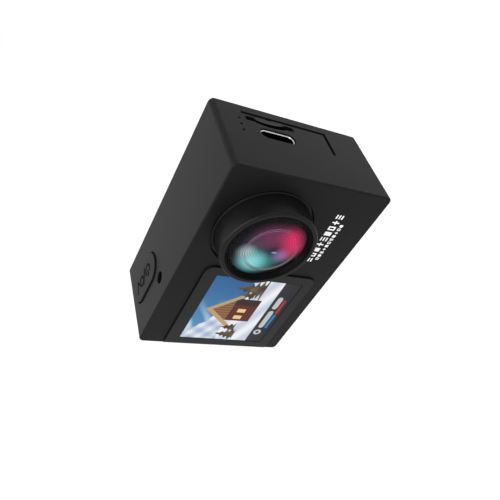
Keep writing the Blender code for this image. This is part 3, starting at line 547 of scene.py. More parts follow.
# A cutter whose mouth widens at the housing's surface, so that its rim is chamfered.
# side is +1 or -1, the way the mouth looks along the axis.
def flaredSlab(low, high, axis, side, corner, cornerSteps, surface, lip=None):
    lip = housingSettings["lip"] if lip is None else lip
    low, high = Vector(low), Vector(high)
    depthEnd = surface - side * lip
    lowBox, highBox = low.copy(), high.copy()
    if side > 0:
        highBox[axis] = depthEnd
    else:
        lowBox[axis] = depthEnd
    piece = slabPiece("cutter", lowBox, highBox, axis, corner, cornerSteps)
    openEdit(piece)
    selectFaces(piece, lambda centre, normal: normal[axis] * side > 0.99)
    bpy.ops.mesh.extrude_region_move()
    size = high - low
    grow = [1.0, 1.0, 1.0]
    for other in range(3):
        if other != axis:
            grow[other] = (size[other] + 4 * lip) / size[other]
    middle = (low + high) / 2
    middle[axis] = depthEnd
    bpy.ops.transform.resize(value=grow, center_override=middle)
    move = [0.0, 0.0, 0.0]
    move[axis] = side * 2 * lip
    bpy.ops.transform.translate(value=move)
    closeEdit()
    return tidyNormals(piece)


# A round cutter with a chamfered mouth at the surface.
def flaredHole(centre, radius, axis, inner, surface, lip, count=48):
    side = 1 if surface > inner else -1
    profile = [(radius, inner), (radius, surface - side * lip), (radius + 2 * lip, surface + side * lip)]
    return turnedPiece("cutter", profile, centre, axis, count, closed=False)


def housingCavity():
    wall, rim = housingSettings["wall"], housingSettings["rim"]
    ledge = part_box("rear_gasket")[0].y - 0.05 * mm
    far = shellHigh.y + 2 * mm
    low = (shellLow.x + wall, shellLow.y + housingSettings["frontWall"], shellLow.z + wall)
    high = (shellHigh.x - wall, far, shellHigh.z - wall)
    cavity = boxPiece("cutter", low, high)
    bevelEdges(cavity, along(1), 0.2 * mm, 3)  # small, because the button flange comes close to it
    seat = slabPiece("cutter", (shellLow.x + rim, ledge, shellLow.z + rim),
                     (shellHigh.x - rim, far, shellHigh.z - rim), 1, 1.2 * mm, 6)
    return [cavity, seat]


def frontCutters():
    gap = 0.15 * mm
    seatDepth = panelHigh.y + 0.1 * mm
    lip = 0.04 * mm
    out = 3 * mm
    seat = flaredSlab((panelLow.x - out, shellLow.y - 1 * mm, panelLow.z - gap),
                      (panelHigh.x + gap, seatDepth, panelHigh.z + gap),
                      1, -1, 2.35 * mm, 8, shellLow.y, lip)
    displayLow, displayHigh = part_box("front_display")
    margin = Vector((0.3 * mm, 2 * mm, 0.3 * mm))
    window = boxPiece("cutter", displayLow - margin, displayHigh + margin)
    hole = flaredHole((lensX, lensZ), 12.0 * mm, "Y", shellLow.y + 3 * mm, shellLow.y, 0.03 * mm, 128)
    return [seat, window, hole]


def topCutters():
    top = shellHigh.z
    gap = 0.25 * mm
    middle = (buttonLow + buttonHigh) / 2
    half = Vector((*buttonHalf, 0))
    low = Vector((middle.x, middle.y, top - 4 * mm)) - half - Vector((gap, gap, 0))
    high = Vector((middle.x, middle.y, top + 1 * mm)) + half + Vector((gap, gap, 0))
    slot = flaredSlab(low, high, 2, 1, half.y + gap - 0.01 * mm, 20, top)
    lightLow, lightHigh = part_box("status_light")
    centre = ((lightLow.x + lightHigh.x) / 2, (lightLow.y + lightHigh.y) / 2)
    hole = flaredHole(centre, 1.5 * mm, "Z", top - 4 * mm, top, 0.1 * mm, 40)
    return [slot, hole]


def leftCutters():
    low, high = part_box("mode_button")
    middle = (low + high) / 2
    half = (2.25 * mm, 4.75 * mm)
    slot = flaredSlab((shellLow.x - 1 * mm, middle.y - half[0], middle.z - half[1]),
                      (shellLow.x + 3 * mm, middle.y + half[0], middle.z + half[1]),
                      0, -1, half[0] - 0.01 * mm, 14, shellLow.x)
    return [slot]


portSettings = {
    "groove": {"width": 0.9 * mm, "depth": 1.0 * mm,
               "y": (3.4 * mm, 11.45 * mm), "z": (11.4 * mm, 34.2 * mm)},
    "slotHalf": (0.75 * mm, 6.3 * mm),
    "microphones": {"y": (4.4 * mm, 6.6 * mm, 8.8 * mm), "z": 35.25 * mm, "radius": 0.35 * mm},
}


def rightCutters():
    side = shellHigh.x
    portLow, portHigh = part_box("usb_socket")
    gap = 0.13 * mm
    port = flaredSlab((side - 4 * mm, portLow.y - gap, portLow.z - gap),
                      (side + 1 * mm, portHigh.y + gap, portHigh.z + gap),
                      0, 1, (portHigh.y - portLow.y) / 2 + gap - 0.01 * mm, 16, side, 0.03 * mm)
    cardLow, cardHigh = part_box("memory_card")
    middle = (cardLow + cardHigh) / 2
    half = portSettings["slotHalf"]
    slot = flaredSlab((side - 4 * mm, middle.y - half[0], middle.z - half[1]),
                      (side + 1 * mm, middle.y + half[0], middle.z + half[1]),
                      0, 1, 0.3 * mm, 4, side, 0.06 * mm)
    cutters = [port, slot, scoopTool(side, middle)]
    holes = portSettings["microphones"]
    for y in holes["y"]:
        cutters.append(flaredHole((y, holes["z"]), holes["radius"], "X",
                                  side - 2.1 * mm, side, 0.04 * mm, 20))
    cutters.append(grooveTool(side))
    return cutters


# A round cutter for the thumb scoop over the card.
def scoopTool(side, middle):
    place = (side, middle.y + recessSettings["scoopShift"], middle.z)
    bpy.ops.object.select_all(action="DESELECT")
    bpy.ops.mesh.primitive_uv_sphere_add(segments=48, ring_count=24, radius=1,
                                         scale=recessSettings["scoopHalf"], location=place)
    return settle(bpy.context.object)


# An L-shaped cutter: a short box whose end is extruded round the corner.
def grooveTool(side):
    groove = portSettings["groove"]
    half = groove["width"] / 2
    corner = (groove["y"][1], groove["z"][0])
    piece = boxPiece("cutter", (side - groove["depth"], corner[0] - half, corner[1] - half),
                     (side + 1 * mm, corner[0] + half, corner[1] + half))
    openEdit(piece)
    selectFaces(piece, lambda centre, normal: normal.z > 0.9)
    bpy.ops.mesh.extrude_region_move()
    bpy.ops.transform.translate(value=(0, 0, groove["z"][1] - corner[1] - half))
    selectFaces(piece, lambda centre, normal: normal.y < -0.9 and centre.z < corner[1] + half)
    bpy.ops.mesh.extrude_region_move()
    bpy.ops.transform.translate(value=(0, groove["y"][0] - corner[0] + half, 0))
    closeEdit()
    return tidyNormals(piece)


def bottomCutters():
    doorLow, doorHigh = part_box("battery_door")
    gap = 0.2 * mm
    base = shellLow.z
    opening = flaredSlab((doorLow.x - gap, doorLow.y - gap, base - 1 * mm),
                         (doorHigh.x + 2 * gap, doorHigh.y + gap, base + 3 * mm),
                         2, -1, 0.05 * mm, 1, base, 0.08 * mm)
    cutters = [opening]
    slotX, pitch, half = 11.4 * mm, 2.2 * mm, (0.45 * mm, 3.0 * mm)  # sound slots
    for index in range(5):
        x = slotX + index * pitch
        cutters.append(flaredSlab((x - half[0], -half[1], base - 1 * mm),
                                  (x + half[0], half[1], base + 3 * mm),
                                  2, -1, half[0] - 0.01 * mm, 6, base, 0.08 * mm))
    latchLow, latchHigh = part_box("door_latch")
    cutters.append(boxPiece("cutter", (doorHigh.x, latchLow.y - gap, 0.45 * mm),
                            (latchHigh.x + 1.7 * mm, latchHigh.y + gap, 1.15 * mm)))
    return cutters


def makeHousing():
    rims = [(shellLow.y, housingSettings["frontRim"], 4), (shellHigh.y, housingSettings["backRim"], 3)]
    housing = slabPiece("housing", shellLow, shellHigh, 1, housingSettings["corner"], 7, rims)
    boolPiece(housing, housingCavity())
    for cutters in (frontCutters(), topCutters(), leftCutters(), rightCutters(), bottomCutters()):
        boolPiece(housing, cutters)
    smooth(housing)
    return finishPiece(housing, shellPlastic, "camera_body", ["body_shell"])


makeHousing()
print("stage: housing made")


panelSettings = {
    "corner": 2.2 * mm, "rim": 0.12 * mm, "roll": 1.1 * mm,
    "window": ((-26.4, 6.7), (-1.5, 31.2)), "windowDepth": 0.12 * mm,
}


# A raised plate with two round corners on the lens side, rolled over the housing's left edge.
def makePanel():
    panel = boxPiece("frontPanelCover", panelLow, panelHigh)
    right = panelHigh.x
    bevelEdges(panel, lambda a, b: along(1)(a, b) and a.x > right - 0.01 * mm, panelSettings["corner"], 8)
    left, front = panelLow.x, panelLow.y
    onLeft, onFront = atLevel(0, left), atLevel(1, front)
    bevelEdges(panel, lambda a, b: onLeft(a, b) and onFront(a, b), panelSettings["roll"], 8)
    rolled = left + panelSettings["roll"] - 0.01 * mm
    bevelEdges(panel, lambda a, b: onFront(a, b) and min(a.x, b.x) > rolled
               and not (along(2)(a, b) and a.x < 0), panelSettings["rim"], 4)
    tidyNormals(panel)
    (x0, z0), (x1, z1) = panelSettings["window"]
    recess = slabPiece("cutter", (x0 * mm, front - 1 * mm, z0 * mm),
                       (x1 * mm, front + panelSettings["windowDepth"], z1 * mm), 1, 0.3 * mm, 4)
    boolPiece(panel, [recess])
    smooth(panel)
    return finishPiece(panel, panelPlastic, "camera_body", ["front_panel"])


makePanel()


# Turn a display colour of 0 to 255 into the linear colour a shader takes.
def linearColour(*shade):
    return tuple((((value / 255) + 0.055) / 1.055) ** 2.4 for value in shade)


# Colour of the picture at u, v in 0 to 1: sky, a snow slope, a timber hut and a dark lower bar.
def paintPicture(u, v):
    barTop = 0.205
    colour = np.zeros((len(u), 3))
    height = (v - barTop) / (1 - barTop)

    def cover(mask, paint):
        colour[mask] = np.asarray(paint)[mask] if np.ndim(paint) == 2 else paint

    blend = np.clip(0.15 + 0.85 * u - 0.15 * height, 0, 1)[:, None]
    colour[:] = np.array((100, 158, 198)) * (1 - blend) + np.array((42, 92, 150)) * blend
    highlightStreak = np.sin(21 * height - 9 * u + 1.6 * np.sin(7 * u)) * np.clip(1.15 - 1.7 * u, 0, 1)
    cloud = np.clip(highlightStreak * 1.3, 0, 1)[:, None]
    colour[:] = colour * (1 - 0.8 * cloud) + np.array((226, 236, 242)) * 0.8 * cloud
    ridge = 0.98 - 1.05 * np.clip(u - 0.12, 0, 1) + 0.03 * np.sin(17 * u) + 0.015 * np.sin(53 * u + 1)
    shade = 0.5 + 0.5 * np.sin(31 * u + 9 * height) * np.sin(23 * height - 5 * u)
    cover(height < ridge, np.array((236, 240, 245)) - shade[:, None] * np.array((74, 56, 34)))
    hill = 0.44 + 0.06 * np.sin(5 * u + 0.6) + 0.05 * u
    drift = 0.5 + 0.5 * np.sin(12 * u + 20 * height)
    cover(height < hill, np.array((246, 248, 250)) - drift[:, None] * np.array((44, 36, 22)))
    hutLeft, hutRight, hutLow, hutHigh = 0.34, 0.70, 0.16, 0.52
    planks = (0.80 + 0.20 * np.sin(height * 150))[:, None]
    inHut = (u > hutLeft) & (u < hutRight) & (height > hutLow) & (height < hutHigh)
    cover(inHut, np.array((118, 56, 46)) * planks)
    cover(inHut & (u > 0.60), np.array((70, 50, 44)) * planks)
    middle = (hutLeft + hutRight) / 2
    roofLine = 0.88 - 1.55 * np.abs(u - middle + 0.02)
    roof = (height < roofLine) & (height > roofLine - 0.10) & (height > hutHigh - 0.12)
    gable = (height < roofLine - 0.09) & (height >= hutHigh) & (u > hutLeft) & (u < hutRight)
    cover(gable, np.array((160, 116, 78)) * (0.85 + 0.15 * np.sin(u * 160))[:, None])
    cover(roof, (196, 160, 118))
    for windowX in (0.40, 0.51):
        pane = (np.abs(u - windowX) < 0.03) & (np.abs(height - 0.36) < 0.06)
        cover(pane, (240, 208, 140))
    trees = ((0.10, 0.24, 0.30), (0.22, 0.30, 0.22), (0.86, 0.22, 0.42), (0.76, 0.32, 0.20))
    for treeX, base, size in trees:
        reach = (base + size - height) * 0.30
        fringe = 1 + 0.35 * np.sin(height * 90)
        tree = (np.abs(u - treeX) < reach * fringe) & (height > base) & (height < base + size)
        cover(tree, np.array((96, 80, 62)) * (0.7 + 0.5 * shade)[:, None])
    cover(v < barTop, np.array((44, 45, 50)) * (0.85 + 0.3 * v / barTop)[:, None])
    ring = np.hypot(u - 0.17, v - 0.125)
    cover((ring < 0.045) & (ring > 0.020), (200, 202, 206))
    bars = ((0.40, 0.15, 0.130, 0.030, (196, 198, 202)), (0.68, 0.10, 0.130, 0.030, (196, 198, 202)),
            (0.37, 0.12, 0.060, 0.016, (40, 130, 190)), (0.62, 0.12, 0.060, 0.016, (178, 48, 56)))
    for barU, barWide, barV, barTall, paint in bars:
        reachU = np.clip(np.abs(u - barU) - barWide + barTall, 0, None)
        reachV = np.abs(v - barV)
        cover(np.hypot(reachU, reachV) < barTall, paint)
    return np.array(linearColour(*np.clip(colour, 0, 255).T)).T


pictureSettings = {"columns": 190, "rows": 190, "x": (-26.2, -1.7), "z": (6.9, 31.0), "glow": 0.95}


# A fine grid set into the panel's window, with the picture in its point colours.
def makePicture():
    x0, x1 = [value * mm for value in pictureSettings["x"]]
    z0, z1 = [value * mm for value in pictureSettings["z"]]
    y = panelLow.y + 0.06 * mm
    bpy.ops.object.select_all(action="DESELECT")
    bpy.ops.mesh.primitive_grid_add(size=1, x_subdivisions=pictureSettings["columns"],
                                    y_subdivisions=pictureSettings["rows"],
                                    location=((x0 + x1) / 2, y, (z0 + z1) / 2),
                                    rotation=(math.radians(90), 0, 0))
    picture = bpy.context.object
    picture.name = "frontPicture"
    picture.scale = (x1 - x0, z1 - z0, 1)
    settle(picture)
    openEdit(picture)
    bpy.ops.mesh.select_all(action="SELECT")
    bpy.ops.mesh.extrude_region_move()
    bpy.ops.transform.translate(value=(0, 0.05 * mm, 0))
    closeEdit()
    tidyNormals(picture)
    points = np.array([vertex.co for vertex in picture.data.vertices])
    u = (points[:, 0] - x0) / (x1 - x0)
    v = (points[:, 2] - z0) / (z1 - z0)
    paint = picture.data.color_attributes.new("paint", "FLOAT_COLOR", "POINT")
    colours = np.ones((len(points), 4), np.float32)
    colours[:, :3] = paintPicture(u, v)
    paint.data.foreach_set("color", colours.ravel())
    material, tree, shader = newMaterial("litPicture", (0.004, 0.004, 0.005), 0.22, specular=0.06)
    attribute = tree.nodes.new("ShaderNodeAttribute")
    attribute.attribute_name = "paint"
    weave = mapRange(tree, noiseNode(tree, objectCoords(tree), 4000, 1), 0.3, 0.7, 0.0, 0.06)
    shown = mixColours(tree, weave, attribute.outputs["Color"], (0.0, 0.0, 0.0))
    feed(tree, shader.inputs["Emission Color"], shown)
    shader.inputs["Emission Strength"].default_value = pictureSettings["glow"]
    return finishPiece(picture, material, "camera_body", ["front_display"])


makePicture()
print("stage: front panel and picture made")


lensFace = barrelLow.y
lensSettings = {
    # (radius, place behind the barrel's front face), in millimetres
    "barrel": [(10.75, 0.0), (11.05, 0.3), (11.3, 5.85), (11.6, 5.92), (11.6, 6.32), (11.3, 6.38),
               (11.3, 7.85), (12.55, 7.85), (12.55, 8.85), (8.9, 8.85), (8.9, 2.65), (7.9, 2.65),
               (7.9, 2.25), (9.9, 2.25), (9.9, 0.0)],
    "ring": [(9.5, 0.12), (9.8, 0.12), (9.8, 1.15), (8.9, 1.15), (8.9, 1.0), (9.05, 0.8), (9.15, 0.72),
             (9.25, 0.55), (9.35, 0.45), (9.45, 0.28)],
    "glassRadius": 8.88, "glassEdge": 0.98, "glassRise": 0.52, "glassThick": 0.1, "glassGap": 0.14 * mm,
}


def lensProfile(points):
    return [(radius * mm, lensFace + place * mm) for radius, place in points]


def makeBarrel():
    profile = softCorners(lensProfile(lensSettings["barrel"]), 0.12 * mm, 3, True)
    barrel = turnedPiece("lensBarrelSleeve", profile, (lensX, lensZ), "Y", 144)
    smooth(barrel)
    return finishPiece(barrel, barrelMetal, "camera_body", ["lens_barrel"])


def makeInnerRing():
    profile = softCorners(lensProfile(lensSettings["ring"]), 0.05 * mm, 2, True)
    ring = turnedPiece("lensInnerRing", profile, (lensX, lensZ), "Y", 144)
    smooth(ring)
    return finishPiece(ring, innerRingMetal, "camera_body", ["lens_retaining_ring"])


# From the axis out over a shallow dome, then back along its flat underside.
def domeProfile(radius, edge, rise, thick, steps=14):
    sphere = (radius ** 2 + rise ** 2) / (2 * rise)
    top = edge - rise
    points = []
    for step in range(steps + 1):
        r = max(radius * step / steps, 0.02)
        points.append((r, top + sphere - math.sqrt(sphere ** 2 - r ** 2)))
    points.append((radius, edge + thick))
    points.append((0.02, edge + thick))
    return points


# The way from a centre in the lens's own X and Z.
def flatOffset(tree, place, centre):
    shift = vectorNode(tree, "SUBTRACT", place, (centre[0] * mm, 0, centre[1] * mm))
    return vectorNode(tree, "MULTIPLY", shift, (1, 0, 1))


# 1 at the centre, falling smoothly to 0 at the radius.
def glowSpot(tree, place, centre, radius, power):
    length = vectorNode(tree, "LENGTH", flatOffset(tree, place, centre))
    fall = mapRange(tree, length, 0.0, radius * mm, 1.0, 0.0)
    fall.node.interpolation_type = "SMOOTHSTEP"
    return mathNode(tree, "POWER", fall, power)


# Painted reflections and a painted highlight streak for the front element, with painted shade at its edge;
# glow is the emission that shows them.
lensReflectionSettings = {
    "base": (30, 25, 36),
    "spots": (
        ((0.8, 2.8), 4.8, 0.9, (75, 70, 85)),
        ((3.6, 2.0), 4.8, 0.9, (95, 50, 80)),
        ((3.8, -1.2), 5.2, 0.9, (125, 50, 88)),
        ((-4.6, -1.0), 4.2, 0.8, (45, 125, 125)),
        ((-5.5, 2.25), 5.8, 0.95, (90, 178, 184)),
        ((-4.95, 2.4), 4.6, 0.85, (142, 224, 228)),
        ((-2.2, 4.6), 3.0, 0.8, (160, 190, 190)),
        ((-1.7, -4.1), 3.0, 0.8, (135, 112, 162)),
        ((1.95, -6.9), 5.9, 0.9, (215, 50, 105)),
        ((4.4, -5.4), 5.4, 0.9, (228, 45, 106)),
    ),
    "bands": (
        (6.1, 0.5, (-0.9, -0.4), (120, 122, 128)),
        (6.15, 0.10, (0.6, 0.8), (135, 105, 130)),
        (6.6, 0.10, (0.6, 0.8), (145, 115, 140)),
    ),
    "ringCentre": (-0.8, -1.2),
    "highlightStreak": ((-1.0, -1.9), (0.30, 0.8), (150, 160, 190)),
    "paintedEdgeShade": {"centre": (-0.6, -0.5), "start": 5.9, "end": 8.7, "edge": (5, 4, 6)},
    "hatch": (560, 0.28, (12, 10, 15)),
    "glow": 1.0,
}


# A thin ring round a centre, strongest on the side it faces.
def bandFactor(tree, place, centre, radius, half, facing):
    offset = flatOffset(tree, place, centre)
    away = mathNode(tree, "SUBTRACT", vectorNode(tree, "LENGTH", offset), radius * mm)
    ring = mapRange(tree, mathNode(tree, "ABSOLUTE", away), half * mm, half * 0.4 * mm, 0.0, 1.0)
    side = vectorNode(tree, "DOT_PRODUCT", offset, (facing[0], 0, facing[1]))
    lit = mapRange(tree, side, -0.1 * radius * mm, 0.8 * radius * mm, 0.0, 1.0)
    return mathNode(tree, "MULTIPLY", ring, lit)


# Painted reflections in colour over a near-black base, a small painted highlight streak and fine turned
# rings, with painted shade fading them to black at the edge.
def paintedLensReflections(tree, place):
    colour = linearColour(*lensReflectionSettings["base"])
    for centre, radius, power, paint in lensReflectionSettings["spots"]:
        factor = glowSpot(tree, place, centre, radius, power)
        colour = mixColours(tree, factor, colour, linearColour(*paint))
    for radius, half, facing, paint in lensReflectionSettings["bands"]:
        factor = bandFactor(tree, place, lensReflectionSettings["ringCentre"], radius, half, facing)
        colour = mixColours(tree, factor, colour, linearColour(*paint))
    centre, reach, paint = lensReflectionSettings["highlightStreak"]
    narrow = mapped(tree, place, "TEXTURE", Location=(centre[0] * mm, 0, centre[1] * mm),
                    Scale=(reach[0] * mm, 1, reach[1] * mm))
    highlightStreak = mapRange(tree, vectorNode(tree, "LENGTH", narrow), 0.6, 1.1, 1.0, 0.0)
    colour = mixColours(tree, highlightStreak, colour, linearColour(*paint))
    scale, strength, paint = lensReflectionSettings["hatch"]
    lines = mapRange(tree, ringWave(tree, place, scale), 0.5, 1.0, 0.0, strength)
    colour = mixColours(tree, lines, colour, linearColour(*paint))
    paintedEdgeShade = lensReflectionSettings["paintedEdgeShade"]
    distance = vectorNode(tree, "LENGTH", flatOffset(tree, place, paintedEdgeShade["centre"]))
    outer = mapRange(tree, distance, paintedEdgeShade["start"] * mm, paintedEdgeShade["end"] * mm, 0.0, 1.0)
    return mixColours(tree, outer, colour, linearColour(*paintedEdgeShade["edge"]))


# The front element carries the painted reflections, shown by emission as a painted glow; the clear dome
# over it only adds gloss.
def makeLensGlass():
    dome = domeProfile(lensSettings["glassRadius"], lensSettings["glassEdge"], lensSettings["glassRise"],
                       lensSettings["glassThick"])
    profile = lensProfile(dome)
    behind = [(radius, place + lensSettings["glassGap"]) for radius, place in profile]
    element = turnedPiece("frontElementPaintedReflections", behind, (lensX, lensZ), "Y", 128, closed=False)
    smooth(element, 40)
    reflectionMaterial, tree, shader = newMaterial("lensPaintedReflections", (0.001, 0.001, 0.0015), 0.12, specular=0.06)
    feed(tree, shader.inputs["Emission Color"], paintedLensReflections(tree, lensCoords(tree)))
    shader.inputs["Emission Strength"].default_value = lensReflectionSettings["glow"]
    finishPiece(element, reflectionMaterial, "camera_body", ["front_lens_element"])
    glass = turnedPiece("coverGlassDome", profile, (lensX, lensZ), "Y", 128, closed=False)
    smooth(glass, 40)
    clear, tree, shader = newMaterial("clearGlass", (0.004, 0.004, 0.005), 0.03, specular=0.1)
    shader.inputs["Alpha"].default_value = 0.03
    shader.inputs["IOR"].default_value = 1.52
    varyRoughness(tree, shader, noiseNode(tree, objectCoords(tree), 260, 2), 0.02, 0.07)
    finishPiece(glass, clear, "camera_body", ["cover_glass"])


makeBarrel()
makeInnerRing()
makeLensGlass()
print("stage: lens made")


buttonSettings = {
    "flange": 1.0 * mm, "flangeDrop": 2.3 * mm, "flangeThick": 0.5 * mm, "stem": 1.6 * mm,
    "edge": 0.16 * mm, "sunk": 0.03 * mm,  # the cap sits a little below its marks
}


# A slab with round ends, lying across Z.
def obroundSlab(name, middle, half, low, high, rims=()):
    return slabPiece(name, (middle[0] - half[0], middle[1] - half[1], low),
                     (middle[0] + half[0], middle[1] + half[1], high), 2, min(half) - 0.005 * mm, 20, rims)


def makePowerButton():
    middle = ((buttonLow.x + buttonHigh.x) / 2, (buttonLow.y + buttonHigh.y) / 2)
    half, flange, stemRadius = buttonHalf, buttonSettings["flange"], buttonSettings["stem"]
    flangeHigh = shellHigh.z - buttonSettings["flangeDrop"]
    flangeLow = flangeHigh - buttonSettings["flangeThick"]
    capTop = buttonHigh.z - buttonSettings["sunk"]
    body = obroundSlab("powerButtonCap", middle, half, flangeLow + 0.1 * mm, capTop,
                       [(capTop, buttonSettings["edge"], 4)])
    plate = obroundSlab("plate", middle, (half[0] + flange, half[1] + flange), flangeLow, flangeHigh)
    stem = turnedPiece("stem", [(stemRadius, buttonLow.z), (stemRadius, flangeLow + 0.2 * mm)],
                       middle, "Z", 32, False)
    boolPiece(body, [plate, stem], "UNION")
    smooth(body)
    return finishPiece(body, buttonPlastic, "power_button", ["power_button"])


# A straight stroke with round ends, as a thin plate.
def strokePiece(name, start, end, width, low, high):
    start, end = Vector(start), Vector(end)
    run = end - start
    half = width / 2
    piece = slabPiece(name, (-run.length / 2 - half, -half, low), (run.length / 2 + half, half, high),
                      2, half * 0.98, 5)
    piece.rotation_euler = (0, 0, math.atan2(run.y, run.x))
    middle = (start + end) / 2
    piece.location = (middle.x, middle.y, 0)
    return settle(piece)


# A flat ring, or part of one, spun from a small block's end.
def arcPiece(name, centre, radius, width, low, high, angle=360, start=0):
    if angle == 360:
        profile = [(radius - width / 2, low), (radius + width / 2, low),
                   (radius + width / 2, high), (radius - width / 2, high)]
        return turnedPiece(name, profile, centre, "Z", 40)
    bpy.ops.object.select_all(action="DESELECT")
    bpy.ops.mesh.primitive_plane_add(size=1, location=(radius, 0, (low + high) / 2),
                                     rotation=(math.radians(90), 0, 0))
    piece = bpy.context.object
    piece.name = name
    piece.scale = (width, high - low, 1)
    settle(piece)
    openEdit(piece)
    bpy.ops.mesh.select_all(action="SELECT")
    bpy.ops.mesh.spin(steps=28, dupli=False, angle=math.radians(angle), center=(0, 0, 0), axis=(0, 0, 1))
    closeEdit()
    openEdit(piece)
    bpy.ops.mesh.select_all(action="DESELECT")
    bpy.ops.mesh.select_mode(type="EDGE")
    bpy.ops.mesh.select_non_manifold()
    bpy.ops.mesh.fill_holes(sides=4)
    closeEdit()
    piece.rotation_euler = (0, 0, math.radians(start))
    piece.location = (centre[0], centre[1], 0)
    settle(piece)
    return tidyNormals(piece)


markSettings = {"width": 0.66 * mm, "depth": 0.08 * mm, "height": 3.45 * mm}


# Dark generic marks on the button: a power sign, a slash, a ring and a tick.
def makeButtonMarks():
    low, high = buttonHigh.z - markSettings["depth"], buttonHigh.z
    width, y = markSettings["width"], markSettings["height"]
    powerX, ringX = -16.0 * mm, -20.6 * mm
    marks = [
        arcPiece("markPowerRing", (powerX, y), 1.4 * mm, width, low, high, 280, 230),
        strokePiece("markPowerBar", (powerX, y - 0.3 * mm), (powerX, y - 1.6 * mm), width, low, high),
        strokePiece("markSlash", (-19.6 * mm, 1.8 * mm), (-17.9 * mm, 5.2 * mm), width, low, high),
        arcPiece("markRing", (ringX, y), 1.2 * mm, width, low, high),
        strokePiece("markTickLong", (-24.3 * mm, 2.2 * mm), (-23.1 * mm, 4.8 * mm), width, low, high),
        strokePiece("markTickShort", (-23.1 * mm, 4.8 * mm), (-22.5 * mm, 3.8 * mm), width, low, high),
    ]
    for mark in marks:
        smooth(mark, 32, False)
        finishPiece(mark, markPaint, "power_button")


def makeStatusLight():
    low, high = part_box("status_light")
    centre = ((low.x + high.x) / 2, (low.y + high.y) / 2)
    radius = (high.x - low.x) / 2
    dome, steps = 0.35 * mm, 9
    profile = [(radius, low.z), (radius, high.z - dome)]
    for step in range(1, steps):
        angle = math.radians(90 * step / steps)
        profile.append((radius * math.cos(angle), high.z - dome + dome * math.sin(angle)))
    light = turnedPiece("statusLightWindow", profile, centre, "Z", 48, False)
    smooth(light, 40)
    material, tree, shader = newMaterial("lightWindow", (0.001, 0.001, 0.0012), 0.30, specular=0.02)
    varyRoughness(tree, shader, noiseNode(tree, objectCoords(tree), 2600, 2), 0.25, 0.36)
    return finishPiece(light, material, "camera_body", ["status_light"])


makePowerButton()
makeButtonMarks()
makeStatusLight()
print("stage: power button made")


printSettings = {
    "corner": 0.06 * mm,
    "lines": (
        {"z": 10.1, "tall": 1.9, "stroke": 0.36, "x": 7.3, "step": 1.8,
         "forms": (0, 1, 2, 3, 0, 2, 1, 3, 0)},
        {"z": 8.05, "tall": 0.85, "stroke": 0.20, "x": 8.0, "step": 1.12,
         "forms": (1, 2, 0, 3, 2, 1, 0, 2, 3, 1, 2)},
    ),
}


# Plain blocks of one sign that is no letter, as (x, z, width, height) about their middles.
def glyphBars(form, x, z, wide, tall, stroke):
    left, right = x - wide / 2 + stroke / 2, x + wide / 2 - stroke / 2
    top, bottom = z + tall / 2 - stroke / 2, z - tall / 2 + stroke / 2
    if form == 0:
        return [(x, top, wide, stroke), (x, z, wide, stroke), (x, bottom, wide, stroke)]
    if form == 1:
        return [(left, z, stroke, tall), (right, z, stroke, tall),
                (x, top, wide, stroke), (x, bottom, wide, stroke)]
    if form == 2:
        return [(x, z, wide, tall)]
    return [(x, z, wide, stroke), (x, z, stroke, tall)]


# Invented signs of plain bars on the front, in two lines.
def makePrint():
    front = shellLow.y
    index = 0
    for line in printSettings["lines"]:
        wide = line["step"] * 0.66
        for spot, form in enumerate(line["forms"]):
            x = line["x"] + spot * line["step"]
            bars = []
            index += 1
            blocks = glyphBars(form, x, line["z"], wide, line["tall"], line["stroke"])
            for barX, barZ, width, height in blocks:
                low = ((barX - width / 2) * mm, front - 0.02 * mm, (barZ - height / 2) * mm)
                high = ((barX + width / 2) * mm, front + 0.01 * mm, (barZ + height / 2) * mm)
                bars.append(slabPiece("bar", low, high, 1, printSettings["corner"], 3))
            if form in (1, 3):  # the bars of these signs touch
                boolPiece(bars[0], bars[1:], "UNION")
                bars = bars[:1]
            for part, sign in enumerate(bars):
                sign.name = f"printSign{index}_{part}"
                finishPiece(sign, printPaint, "camera_body")


makePrint()


# Bright metal at the mouth, with painted shade further in: black where the hole is dark.
def socketMetal(mouth):
    bright, paintedShadeColour = (0.52, 0.53, 0.54), (0.006, 0.006, 0.007)
    material, tree, shader = newMaterial("socketMetal", bright, 0.20, 1.0)
    x = axisParts(tree, objectCoords(tree))["X"]
    depth = mapRange(tree, x, mouth - 0.22 * mm, mouth - 0.36 * mm, 0.0, 1.0)
    feed(tree, shader.inputs["Base Color"], mixColours(tree, depth, bright, paintedShadeColour))
    return material


def makeUsbPort():
    low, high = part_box("usb_socket")
    middle = (low + high) / 2
    metal = 0.32 * mm
    outerRadius = (high.y - low.y) / 2
    socket = slabPiece("usbSocketShell", low, high, 0, outerRadius - 0.005 * mm, 16,
                       [(high.x, 0.06 * mm, 2)])
    inner = flaredSlab((low.x + 0.6 * mm, low.y + metal, low.z + metal),
                       (high.x + 1 * mm, high.y - metal, high.z - metal), 0, 1,
                       outerRadius - metal - 0.005 * mm, 16, high.x, 0.16 * mm)
    boolPiece(socket, [inner])
    smooth(socket)
    finishPiece(socket, socketMetal(high.x), "camera_body", ["usb_socket"])
    tongueLow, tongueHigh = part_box("usb_tongue")
    tongue = slabPiece("usbTongueBlock", tongueLow, tongueHigh, 0, 0.12 * mm, 3)
    bevelEdges(tongue, atLevel(0, tongueHigh.x), 0.08 * mm, 2)
    smooth(tongue)
    finishPiece(tongue, deepBlack, "camera_body", ["usb_tongue"])
    for index in range(12):
        z = middle.z + (index - 5.5) * 0.5 * mm
        for side in (-1, 1):
            face = tongueLow.y if side < 0 else tongueHigh.y
            pad = slabPiece(f"usbContact{index}{'a' if side < 0 else 'b'}",
                            (tongueLow.x + 1.5 * mm, face - 0.02 * mm, z - 0.12 * mm),
                            (tongueHigh.x - 0.8 * mm, face + 0.02 * mm, z + 0.12 * mm), 1, 0.03 * mm, 2)
            finishPiece(pad, contactMetal, "camera_body")


